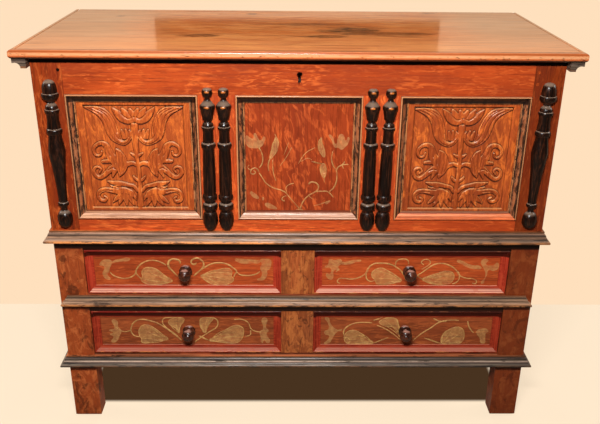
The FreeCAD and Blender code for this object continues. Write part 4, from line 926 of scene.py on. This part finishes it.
drawerVines = {  # across from the knob (plus is towards the outer end), up from the knob
    "upperLeft": {
        "strokes": [
            [(46, 15, 1.6), (62, 24, 1.7), (80, 27, 1.8), (99, 21, 1.8), (113, 8, 1.8), (118, -5, 1.8),
             (114, -14, 1.6), (106, -23, 1.4)],
            [(118, -5, 1.6), (125, -14, 1.7), (141, -21, 1.8), (160, -19, 1.8), (173, -12, 1.7),
             (179, -5, 1.3)],
            [(20, -15, 1.5), (31, -2, 2.2), (40, 11, 2.9), (40, 21, 3.0), (33, 29, 2.4), (22, 30, 2.4),
             (13, 25, 2.2), (12, 19, 1.4)],
            [(-18, -14, 1.6), (-29, -3, 1.7), (-44, 8, 1.8), (-61, 18, 1.9), (-80, 21, 1.9),
             (-97, 18, 1.9), (-110, 9, 1.9), (-120, -3, 1.8), (-116, -10, 1.7), (-113, -17, 1.4)],
            [(-120, -3, 1.5), (-127, -10, 1.7), (-143, -13, 1.7), (-160, -11, 1.7), (-171, -6, 1.6),
             (-175, -2, 1.2)],
            [(-18, -14, 1.8), (-31, -2, 1.9), (-41, 10, 2.1), (-43, 19, 2.2), (-38, 28, 2.2),
             (-29, 33, 2.2), (-20, 31, 2.2), (-14, 25, 2.2), (-16, 18, 2.2), (-22, 17, 2.0), (-26, 21, 1.6)],
        ],
        "leaves": [
            [(33, -28), (52, -12), (67, 2), (82, 8), (97, 6), (104, -5), (103, -15), (107, -24),
             (100, -33), (83, -38), (66, -38), (49, -34)],
            [(173, 20), (168, 26), (151, 31), (129, 31), (131, 27), (148, 24), (164, 22)],
            [(201, 19), (194, 27), (185, 30), (174, 27), (172, 23), (175, 14), (179, 6), (181, -3),
             (185, -10), (180, -24), (188, -24), (195, -17), (197, -7), (192, 4), (193, 12), (202, 14)],
            [(-34, -13), (-48, -10), (-63, -4), (-79, 3), (-95, 6), (-106, 3), (-109, -6), (-107, -15),
             (-113, -23), (-106, -32), (-92, -38), (-75, -39), (-59, -35), (-45, -26)],
            [(-117, 31), (-127, 32), (-145, 31), (-167, 29), (-177, 27), (-176, 22), (-157, 20),
             (-136, 19), (-125, 22)],
            [(-176, 29), (-188, 32), (-201, 29), (-202, 15), (-197, 3), (-193, 1), (-193, -9),
             (-185, -24), (-174, -26), (-168, -24), (-177, -18), (-180, -6), (-176, 8), (-180, 19)],
        ],
        "hatch": [6, 0, 0, 6, 0, 0],
        "dots": [],
    },
    "upperRight": {
        "strokes": [
            [(8, -22, 1.6), (26, -8, 1.6), (43, 6, 1.8), (56, 16, 1.8), (75, 21, 1.8), (96, 15, 1.7),
             (112, 3, 1.6), (123, -12, 1.6), (139, -19, 1.5), (156, -21, 1.5), (164, -28, 1.5),
             (161, -34, 1.5), (154, -32, 1.3)],
            [(117, -1, 1.5), (122, -15, 1.5), (116, -30, 1.5), (106, -35, 1.4)],
            [(30, 5, 1.4), (42, 13, 1.5), (49, 23, 1.4), (44, 30, 1.3), (33, 30, 1.2), (28, 23, 1.2),
             (34, 17, 1.1)],
            [(-5, -26, 1.6), (-15, -5, 1.8), (-29, 9, 1.9), (-49, 19, 1.9), (-70, 21, 1.9),
             (-87, 18, 1.9), (-98, 6, 1.8), (-105, -8, 1.6), (-119, -18, 1.4), (-140, -22, 1.3),
             (-154, -20, 1.3), (-167, -22, 1.5), (-169, -31, 1.5), (-163, -33, 1.2)],
            [(-98, 2, 1.5), (-102, -10, 1.5), (-97, -25, 1.6), (-88, -28, 1.5), (-80, -25, 1.3)],
            [(-34, 15, 1.4), (-30, 28, 1.5), (-18, 32, 1.5), (-5, 29, 1.5), (-2, 19, 1.3)],
            [(-174, -3, 1.2), (-169, 4, 1.0)],
        ],
        "leaves": [
            [(33, -22), (52, -12), (74, -4), (90, 0), (104, -4), (109, -15), (106, -26), (101, -32),
             (90, -36), (67, -36), (47, -31)],
            [(112, 29), (124, 28), (139, 20), (152, 16), (168, 14), (172, 8), (159, 6), (141, 9), (125, 18)],
            [(170, 29), (186, 30), (182, 19), (200, 17), (209, 23), (213, 9), (201, 1), (190, 3),
             (187, -10), (183, -22), (180, -34), (175, -33), (183, -17), (182, -2), (177, 8)],
            [(-16, -26), (-34, -10), (-51, 1), (-67, 8), (-83, 2), (-89, -8), (-85, -19), (-78, -26),
             (-76, -34), (-58, -36), (-36, -33)],
            [(-163, 21), (-151, 25), (-126, 30), (-115, 28), (-128, 23), (-150, 17)],
            [(-190, 31), (-178, 29), (-163, 31), (-161, 21), (-169, 11), (-166, 2), (-177, 2),
             (-183, -23), (-189, -23), (-197, -7), (-188, -7), (-188, 8), (-201, 11), (-193, 18)],
        ],
        "hatch": [6, 0, 0, 6, 0, 0],
        "dots": [(34, 21, 2.0)],
    },
    "lowerLeft": {
        "strokes": [
            [(21, -28, 1.6), (40, -9, 1.5), (58, 7, 1.5), (76, 20, 1.7), (97, 28, 1.7), (116, 31, 1.8),
             (132, 24, 1.8), (141, 9, 1.8), (142, -5, 1.7), (136, -15, 1.6), (123, -19, 1.4)],
            [(142, 0, 1.5), (159, -4, 1.4), (172, 2, 1.2), (178, 9, 1.1)],
            [(20, -29, 1.5), (37, -9, 1.5), (55, 7, 1.6), (64, 22, 1.6), (61, 33, 1.6), (47, 36, 1.6),
             (28, 36, 1.4)],
            [(-12, -34, 1.6), (-31, -18, 1.5), (-51, -3, 1.6), (-67, 9, 1.7), (-71, 24, 1.7),
             (-64, 34, 1.6), (-49, 36, 1.4)],
            [(-111, 31, 1.3), (-130, 31, 1.4), (-145, 22, 1.5), (-152, 4, 1.5), (-163, -3, 1.4),
             (-177, -5, 1.4)],
            [(-151, 0, 1.3), (-149, -13, 1.4), (-136, -18, 1.3)],
        ],
        "leaves": [
            [(53, -26), (69, -9), (86, 7), (101, 15), (115, 13), (123, 0), (123, -15), (117, -28),
             (119, -34), (105, -37), (76, -29)],
            [(26, -8), (30, 4), (48, 18), (47, 29), (35, 34), (22, 36), (12, 33), (13, 24), (22, 11)],
            [(185, 31), (173, 25), (173, 11), (166, 0), (171, -15), (183, -34), (193, -34), (187, -18),
             (195, -11), (187, -6), (196, 0), (183, 5)],
            [(-39, -8), (-29, 8), (-27, 24), (-31, 34), (-46, 36), (-59, 34), (-55, 26), (-43, 11)],
            [(-48, -29), (-66, -18), (-85, -3), (-104, 11), (-120, 14), (-132, 6), (-133, -9),
             (-127, -26), (-115, -36), (-93, -37), (-68, -33)],
            [(-180, 35), (-190, 35), (-189, 8), (-195, 0), (-190, -9), (-197, -35), (-190, -36),
             (-184, -29), (-179, -36), (-175, -18), (-173, -3), (-181, 4)],
        ],
        "hatch": [6, 5, 0, 5, 6, 0],
        "dots": [],
    },
    "lowerRight": {
        "strokes": [
            [(-8, -28, 1.3), (-25, -12, 1.5), (-42, 1, 1.6), (-58, 10, 1.5), (-69, 15, 1.2)],
            [(-81, 22, 1.2), (-109, 23, 1.6), (-128, 19, 1.8), (-143, 10, 1.9), (-150, -3, 1.8),
             (-148, -16, 1.6), (-145, -26, 1.3)],
            [(-78, 29, 1.5), (-66, 33, 1.8), (-56, 39, 1.2)],
            [(23, -29, 1.3), (35, -16, 1.5), (50, -3, 1.7), (65, 8, 1.8), (80, 21, 1.8), (98, 28, 1.7),
             (116, 30, 1.5), (132, 29, 1.2)],
            [(69, 34, 1.4), (84, 27, 1.7), (101, 26, 1.5)],
            [(154, 27, 1.4), (157, 15, 1.8), (164, 2, 1.8), (171, -6, 1.4)],
            [(-150, -20, 1.5), (-139, -22, 1.6), (-134, -31, 1.5), (-140, -37, 1.4)],
        ],
        "leaves": [
            [(-75, -37), (-94, -22), (-108, -8), (-122, 0), (-136, -1), (-145, -9), (-148, -20),
             (-145, -33), (-133, -40), (-109, -40), (-87, -40)],
            [(-8, -20), (-13, -15), (-18, 1), (-30, 10), (-46, 12), (-58, 17), (-64, 24), (-50, 35),
             (-31, 36), (-20, 30), (-16, 15)],
            [(-197, 38), (-189, 37), (-184, 22), (-176, 10), (-165, 2), (-154, 2), (-165, -3),
             (-172, -12), (-178, -25), (-186, -37), (-198, -38), (-191, -29), (-186, -16), (-196, -11),
             (-198, -3), (-188, 4), (-190, 22), (-197, 33)],
            [(94, -38), (93, -23), (99, -7), (113, 4), (131, 10), (144, 3), (149, -12), (147, -29),
             (136, -39), (117, -40)],
            [(178, -3), (191, 6), (203, 5), (208, -3), (203, -7), (202, -21), (202, -37), (193, -36),
             (188, -21), (181, -12)],
        ],
        "hatch": [6, 5, 0, 5, 0],
        "dots": [],
    },
}
brush = {
    "washMm": 0.14,  # half the thickness of the paint that fills a leaf
    "flatten": 0.3,  # strokes lie flat: height over width
    "outlineMm": 1.2,
    "outlinePoints": 22,
    "fan": (0.14, 0.86),  # part of a leaf's edge that the hatching lines end on
    "hatchAt": (0.12, 0.5, 0.93),  # points of a hatching line, from the leaf's tip to its edge
    "hatchMm": (0.6, 1.25, 0.7),
    "sag": 0.05,
}


def drawnCurve(bm, strokes, filled):
    # brush strokes, or a filled outline, made a mesh and added to bm
    curve = bpy.data.curves.new("drawn", "CURVE")
    curve.dimensions = "2D" if filled else "3D"
    curve.resolution_u = 6
    if filled:
        curve.fill_mode = "BOTH"
        curve.extrude = brush["washMm"] * mm
    else:
        curve.bevel_depth = mm
        curve.bevel_resolution = 1
        curve.use_fill_caps = True
    for stroke in strokes:
        line = curve.splines.new("BEZIER")
        line.bezier_points.add(len(stroke) - 1)
        line.use_cyclic_u = filled
        for point, given in zip(line.bezier_points, stroke):
            point.co = (given[0] * mm, given[1] * mm, 0)
            point.handle_left_type = point.handle_right_type = "AUTO"
            if not filled:
                point.radius = given[2]
    holder = bpy.data.objects.new("drawn", curve)
    mesh = bpy.data.meshes.new_from_object(holder)
    bpy.data.objects.remove(holder)
    bm.from_mesh(mesh)


def leafStrokes(outline, count):
    # brush lines fanned from the tip of a leaf, and its outline
    edge = np.array(outline + outline[:1], float)
    edge = alongStroke(np.hstack([edge, np.ones((len(edge), 1))]), 2.0)[:, :2]
    tip = edge[0]
    lines = []
    for k in range(count):
        start, end = brush["fan"]
        goal = edge[int(len(edge) * (start + (end - start) * k / (count - 1)))]
        sag = np.array([(goal - tip)[1], -(goal - tip)[0]]) * brush["sag"]
        path = [tip + (goal - tip) * t + sag * math.sin(math.pi * t) for t in brush["hatchAt"]]
        lines.append([(*p, r) for p, r in zip(path, brush["hatchMm"])])
    rim = [*edge[:: max(1, len(edge) // brush["outlinePoints"])], tip]
    return lines + [[(*p, brush["outlineMm"]) for p in rim]]


def paintVines(name, design, centre, body, finish, wash, flip=1):
    lines = design["strokes"] + [[(x - 0.1, z, r), (x + 0.1, z, r)] for x, z, r in design["dots"]]
    for outline, count in zip(design["leaves"], design["hatch"]):
        if count:
            lines = lines + leafStrokes(outline, count)
    place = Matrix.Translation((centre[0] * mm, chest["panelFace"] * mm, centre[1] * mm)) @ uprightTurn
    for kind, source in (("Stems", lines), ("Leaves", design["leaves"])):
        filled = kind == "Leaves"
        drawn = [[(flip * p[0], *p[1:]) for p in line] for line in source]
        bm = bmesh.new()
        for group in [[line] for line in drawn] if filled else [drawn]:
            drawnCurve(bm, group, filled)
        if not filled:
            bmesh.ops.scale(bm, vec=(1, 1, brush["flatten"]), verts=bm.verts)
        bmesh.ops.transform(bm, matrix=place, verts=bm.verts)
        bmesh.ops.remove_doubles(bm, verts=bm.verts, dist=1e-6)
        bmesh.ops.recalc_face_normals(bm, faces=bm.faces)
        keepPiece(name + kind, bm, wash if filled else finish, body, smooth=not filled)


turning = {
    "steps": 20,
    "crispDeg": 38,  # cuts sharper than this keep a hard edge
    # radius and height, from the foot up
    "corner": [
        (0, 533), (6, 533.4), (10, 535.4), (14, 539.8), (16.4, 546), (17, 554), (16.4, 562), (14, 568.5),
        (10.5, 573),
        (7.6, 575.5), (7, 578), (7.4, 583), (9, 586), (11.6, 588.2), (12.4, 591.5), (11.6, 594.6), (9.8, 596),
        (9.9, 600), (10.1, 612), (10.8, 628), (12.2, 650), (14, 671), (16, 690), (18, 708), (18.8, 716),
        (18.6, 719),
        (17.6, 727), (16.2, 737), (14.6, 747), (14.2, 752), (14.4, 755), (16.4, 757), (17.2, 760.5),
        (17.2, 763.5),
        (16.2, 766.5), (14.6, 768), (14.6, 771), (13.8, 780), (13, 790), (13.4, 799), (13.6, 803.5),
        (15.6, 804.2),
        (16.3, 806), (16.3, 808.5), (15.6, 810), (12.9, 810.8), (12.9, 812), (14, 812.8), (13.4, 816),
        (11.5, 820),
        (8.6, 822.6), (7.2, 825),
        (8.2, 827.5), (12, 829.5), (15.4, 832.5), (17.8, 836.5), (18.8, 840), (18.8, 843), (17.8, 845.4),
        (16, 846.2),
        (15.9, 848.5), (16, 853), (15.4, 860), (13.6, 866.5), (10.4, 871.3), (6, 873.8), (0, 874.6),
    ],
    "muntin": [
        (0, 526), (6, 526.6), (9.4, 529.4), (12.4, 534), (15, 540), (17, 547), (17.3, 553), (16.8, 561),
        (15.2, 568),
        (13, 572.5), (11.8, 574.5), (11.8, 577.5), (14.5, 579.5), (17, 582.5), (17.3, 586), (17, 590),
        (15, 593.5),
        (12.6, 595.5), (12.2, 598.5), (12.4, 601.5), (15, 603.5), (16.8, 606), (17, 609), (16.6, 612.6),
        (14.8, 614.8),
        (14.2, 617), (14.3, 640), (14.1, 665), (13.8, 690), (13, 712), (12.6, 721), (12.8, 724), (15, 726.5),
        (16.2, 730), (16.2, 733), (15.2, 736), (12.6, 738), (12, 741), (11.6, 752), (11.4, 762), (11.8, 768),
        (13.8, 769), (14.3, 771), (13.8, 773), (11.6, 774), (11.6, 775.2), (12.6, 776), (11.8, 779.5),
        (9, 783),
        (8, 785.5), (8.4, 788), (9.8, 789.6), (11.6, 790.4), (12.2, 793), (12, 794), (13.6, 801), (14.8, 808),
        (15.2, 811), (16.6, 814), (17, 817.4), (16.4, 820.4), (14.4, 823),
        (10.4, 827.8), (7.2, 831.4), (6.2, 834), (6, 836.4), (7.2, 838.6), (9.8, 841), (11.5, 845),
        (11.8, 849.4), (11, 853.4),
        (9, 856.4), (6, 858.2), (3, 858.8), (0, 859),
    ],
    # the middle of each spindle at its foot and tip: hand-set, so none stands quite plumb
    "places": {
        "corner_spindle_left": [(-530, -530)],
        "corner_spindle_right": [(530.8, 534.5)],
        "muntin_spindles_left": [(-200.4, -197), (-164.2, -162.4)],
        "muntin_spindles_right": [(157.2, 158), (192.2, 196.8)],
    },
    # radius and reach of a knob, from the drawer face out
    "knob": [
        (0, 0), (13.5, 0), (15.2, 1.2), (15.5, 3.5), (15.2, 6), (13.6, 7.8), (11, 8.6), (8.6, 9.4),
        (7.8, 11), (7.8, 13.5),
        (8.8, 15.5), (11, 17.4), (13.4, 20), (14.6, 23), (14.7, 26), (13.7, 29.5), (11.6, 32.2),
        (8.4, 34.2), (6.4, 35),
        (6, 35.6), (5.2, 36), (4.6, 37.2), (3, 37.9), (0, 38),
    ],
}


def turnWood(bm, outline, stand, degrees):
    # an outline of radii and heights, spun about the upright axis of stand
    line = [bm.verts.new(stand @ Vector((radius * mm, 0, height * mm))) for radius, height in outline]
    edges = [bm.edges.new(pair) for pair in zip(line, line[1:])]
    centre = {"cent": stand.translation, "axis": stand.to_3x3() @ Vector((0, 0, -1))}
    turns = {"angle": math.radians(degrees), "steps": round(turning["steps"] * degrees / 180)}
    bmesh.ops.spin(bm, geom=line + edges, use_merge=degrees == 360, **centre, **turns)


def finishTurning(bm):
    bmesh.ops.remove_doubles(bm, verts=bm.verts, dist=1e-5)
    bmesh.ops.holes_fill(bm, edges=[e for e in bm.edges if e.is_boundary], sides=0)
    bmesh.ops.recalc_face_normals(bm, faces=bm.faces)
    for edge in bm.edges:
        edge.smooth = edge.calc_face_angle(0) < math.radians(turning["crispDeg"])


for node, places in turning["places"].items():
    kind, *rest = node.split("_")
    outline = turning[kind]
    start = outline[0][1]
    bm = bmesh.new()
    for foot, tip in places:
        lean = math.atan2(tip - foot, outline[-1][1] - start)
        stand = Matrix.Translation((foot * mm, chest["front"] * mm, start * mm))
        stand = stand @ Matrix.Rotation(lean, 4, "Y")
        turnWood(bm, [(radius, height - start) for radius, height in outline], stand, 180)
    finishTurning(bm)
    name = kind + "".join(word.title() for word in rest)
    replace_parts(keepPiece(name, bm, ebony, "case"), node)
for level, z in chest["knobUp"].items():
    bm = bmesh.new()
    for x in (-chest["knobAcross"], chest["knobAcross"]):
        stand = Matrix.Translation((x * mm, chest["panelFace"] * mm, z * mm)) @ uprightTurn
        turnWood(bm, turning["knob"], stand, 360)
    finishTurning(bm)
    drawer = level + "_drawer"
    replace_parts(keepPiece(level + "Knobs", bm, knobPolish, drawer), drawer + "_knobs")
print("spindles and knobs turned")

line = ochrePaint("ochreCentre", "z", centreRed, 0.66)
wash = ochrePaint("ochreWashCentre", "z", centreRed, 0.4)
paintVines("centreVine", centreVines, (0, chest["panelUp"]), "case", line, wash)
for level, look in drawerReds.items():
    line = ochrePaint(level + "Ochre", "x", look, 0.9)
    wash = ochrePaint(level + "OchreWash", "x", look, 0.48)
    for side, flip in (("Left", -1), ("Right", 1)):
        name, centre = level + "DrawerVine" + side, (flip * chest["knobAcross"], chest["knobUp"][level])
        paintVines(name, drawerVines[level + side], centre, level + "_drawer", line, wash, flip)
print("vines painted")

studio = {
    "boardM": 8.0,
    "wallY": 0.315,
    "wall": "#ffe0bd",
    "floor": "#ffe9cc",
    "bounce": 0.3,  # share of its colour that the stage throws back, low so that shadows stay deep
    "flat": 0.8,  # share of the floor's look that is even
    "under": "#483320",  # painted shadow on the floor between the feet
    "underMm": ((0, -540, -556), (0, 540, 556), (1, -178, -194), (1, 392, 408)),  # its soft edges
    "mirror": 0.65,  # brightness of the wall in polished wood
    "board": "#2a1a12",  # a dark board on the wall that only polished wood sees
    "boardMm": ((0, -397, -393), (0, 401, 397), (2, 968, 974), (2, 1700, 1690)),  # its soft edges
    "worldColour": "#fff2e2",
    "world": 0.03,
    "worldSeen": 0.95,
}


def stageFinish(name, colour, flat, isWall):
    # matt painted board, as bright to the eye as its paint wherever the lamps stand
    finish, place = startFinish(name)
    plain = toLinear(colour)
    thrown = addNode(place, "BsdfDiffuse", {"Color": [c * studio["bounce"] for c in plain[:3]] + [1.0]})
    glow = addNode(place, "Emission", {"Color": plain, "Strength": 1.0})
    look = addNode(place, "MixShader", {0: flat, 1: addNode(place, "BsdfDiffuse", {"Color": plain}), 2: glow})
    seen, glossy, through = (addNode(place, "LightPath", {}, out=kind) for kind in (0, 3, 6))
    shown = [seen, through]
    if isWall:
        shown.append(whereAll(glossy, studio["mirror"]))
    else:
        # painted shadow: a dark patch on the floor between the feet
        outside = whereAny(*[partAlong(place, *edge) for edge in studio["underMm"]])
        dark = addNode(place, "Emission", {"Color": studio["under"], "Strength": 1.0})
        look = addNode(place, "MixShader", {0: outside, 1: dark, 2: look})
    surface = addNode(place, "MixShader", {0: whereAny(*shown), 1: thrown, 2: look})
    if isWall:  # clear from behind and to the lamps
        board = whereAll(glossy, *[partAlong(place, *edge) for edge in studio["boardMm"]])
        dark = addNode(place, "BsdfDiffuse", {"Color": studio["board"]})
        surface = addNode(place, "MixShader", {0: board, 1: surface, 2: dark})
        behind, shadow = addNode(place, "NewGeometry", {}, out=6), addNode(place, "LightPath", {}, out=1)
        clear = {0: whereAny(behind, shadow), 1: surface, 2: addNode(place, "BsdfTransparent", {})}
        surface = addNode(place, "MixShader", clear)
    addNode(place, "OutputMaterial", {"Surface": surface})
    return finish


def stageBoard(name, matrix, finish):
    bm = bmesh.new()
    bmesh.ops.create_grid(bm, x_segments=1, y_segments=1, size=studio["boardM"], matrix=matrix)
    board = addPiece(name, bm, finish, smooth=False)


stageBoard("floor", Matrix.Identity(4), stageFinish("floorBoard", studio["floor"], studio["flat"], False))
wallTurn = Matrix.Translation((0, studio["wallY"], studio["boardM"])) @ uprightTurn
stageBoard("wall", wallTurn, stageFinish("wallBoard", studio["wall"], 1.0, True))

world = bpy.data.worlds.new("studioLight")
bpy.context.scene.world = world
world.use_nodes = True
world.node_tree.nodes.clear()
seen = addNode(world.node_tree, "LightPath", {}, out=0)
level = addNode(world.node_tree, "MapRange", {0: seen, 3: studio["world"], 4: studio["worldSeen"]})
sky = addNode(world.node_tree, "Background", {"Color": studio["worldColour"], "Strength": level})
addNode(world.node_tree, "OutputWorld", {"Surface": sky})

lamps = {  # place, aim, size and watts; the key lamp is wide and thin, for clear shadows under the mouldings
    "keyLamp": ((-0.12, -1.5, 1.65), (-0.05, 0.0, 0.45), (0.5, 0.12), 44),
    "topLamp": ((-0.1, 0.05, 2.6), (-0.1, 0.05, 0), (1.6, 0.6), 10),
    "leftLamp": ((-2.3, 0.1, 1.6), (-0.5, 0.0, 0.5), (0.8, 0.5), 16),
    "rightLamp": ((2.3, 0.1, 1.6), (0.5, 0.0, 0.5), (0.8, 0.5), 16),
    "backLamp": ((0.2, 2.6, 0.62), (0, 0.2, 0.5), (1.2, 0.4), 60),
}
for name, (place, aim, size, watts) in lamps.items():
    light = bpy.data.lights.new(name, "AREA")
    light.shape = "RECTANGLE"
    light.size, light.size_y = size
    light.energy = watts
    lamp = bpy.data.objects.new(name, light)
    lamp.location = place
    lamp.rotation_euler = (Vector(aim) - Vector(place)).to_track_quat("-Z", "Y").to_euler()
    bpy.context.collection.objects.link(lamp)
print("stage and lamps set")

eye = {
    "place": (-0.02484, -1.82128, 1.25973), "pitch": -23.56, "yaw": 1.04, "roll": 0.61,
    "focalPx": 755.22, "widthPx": 600, "sensorMm": 36,
}
pitch, yaw, roll = (math.radians(eye[k]) for k in ("pitch", "yaw", "roll"))
ahead = Vector((math.sin(yaw) * math.cos(pitch), math.cos(yaw) * math.cos(pitch), math.sin(pitch)))
right = Vector((math.cos(yaw), -math.sin(yaw), 0))
up = right.cross(ahead)
rightTurned = math.cos(roll) * right + math.sin(roll) * up
upTurned = -math.sin(roll) * right + math.cos(roll) * up
camera = bpy.data.objects.new("camera", bpy.data.cameras.new("camera"))
camera.data.sensor_width = eye["sensorMm"]
camera.data.lens = eye["sensorMm"] * eye["focalPx"] / eye["widthPx"]
turn = Matrix((rightTurned, upTurned, -ahead)).transposed().to_4x4()
camera.matrix_world = Matrix.Translation(eye["place"]) @ turn
bpy.context.collection.objects.link(camera)
bpy.context.scene.camera = camera
bpy.context.scene.view_settings.view_transform = "Standard"
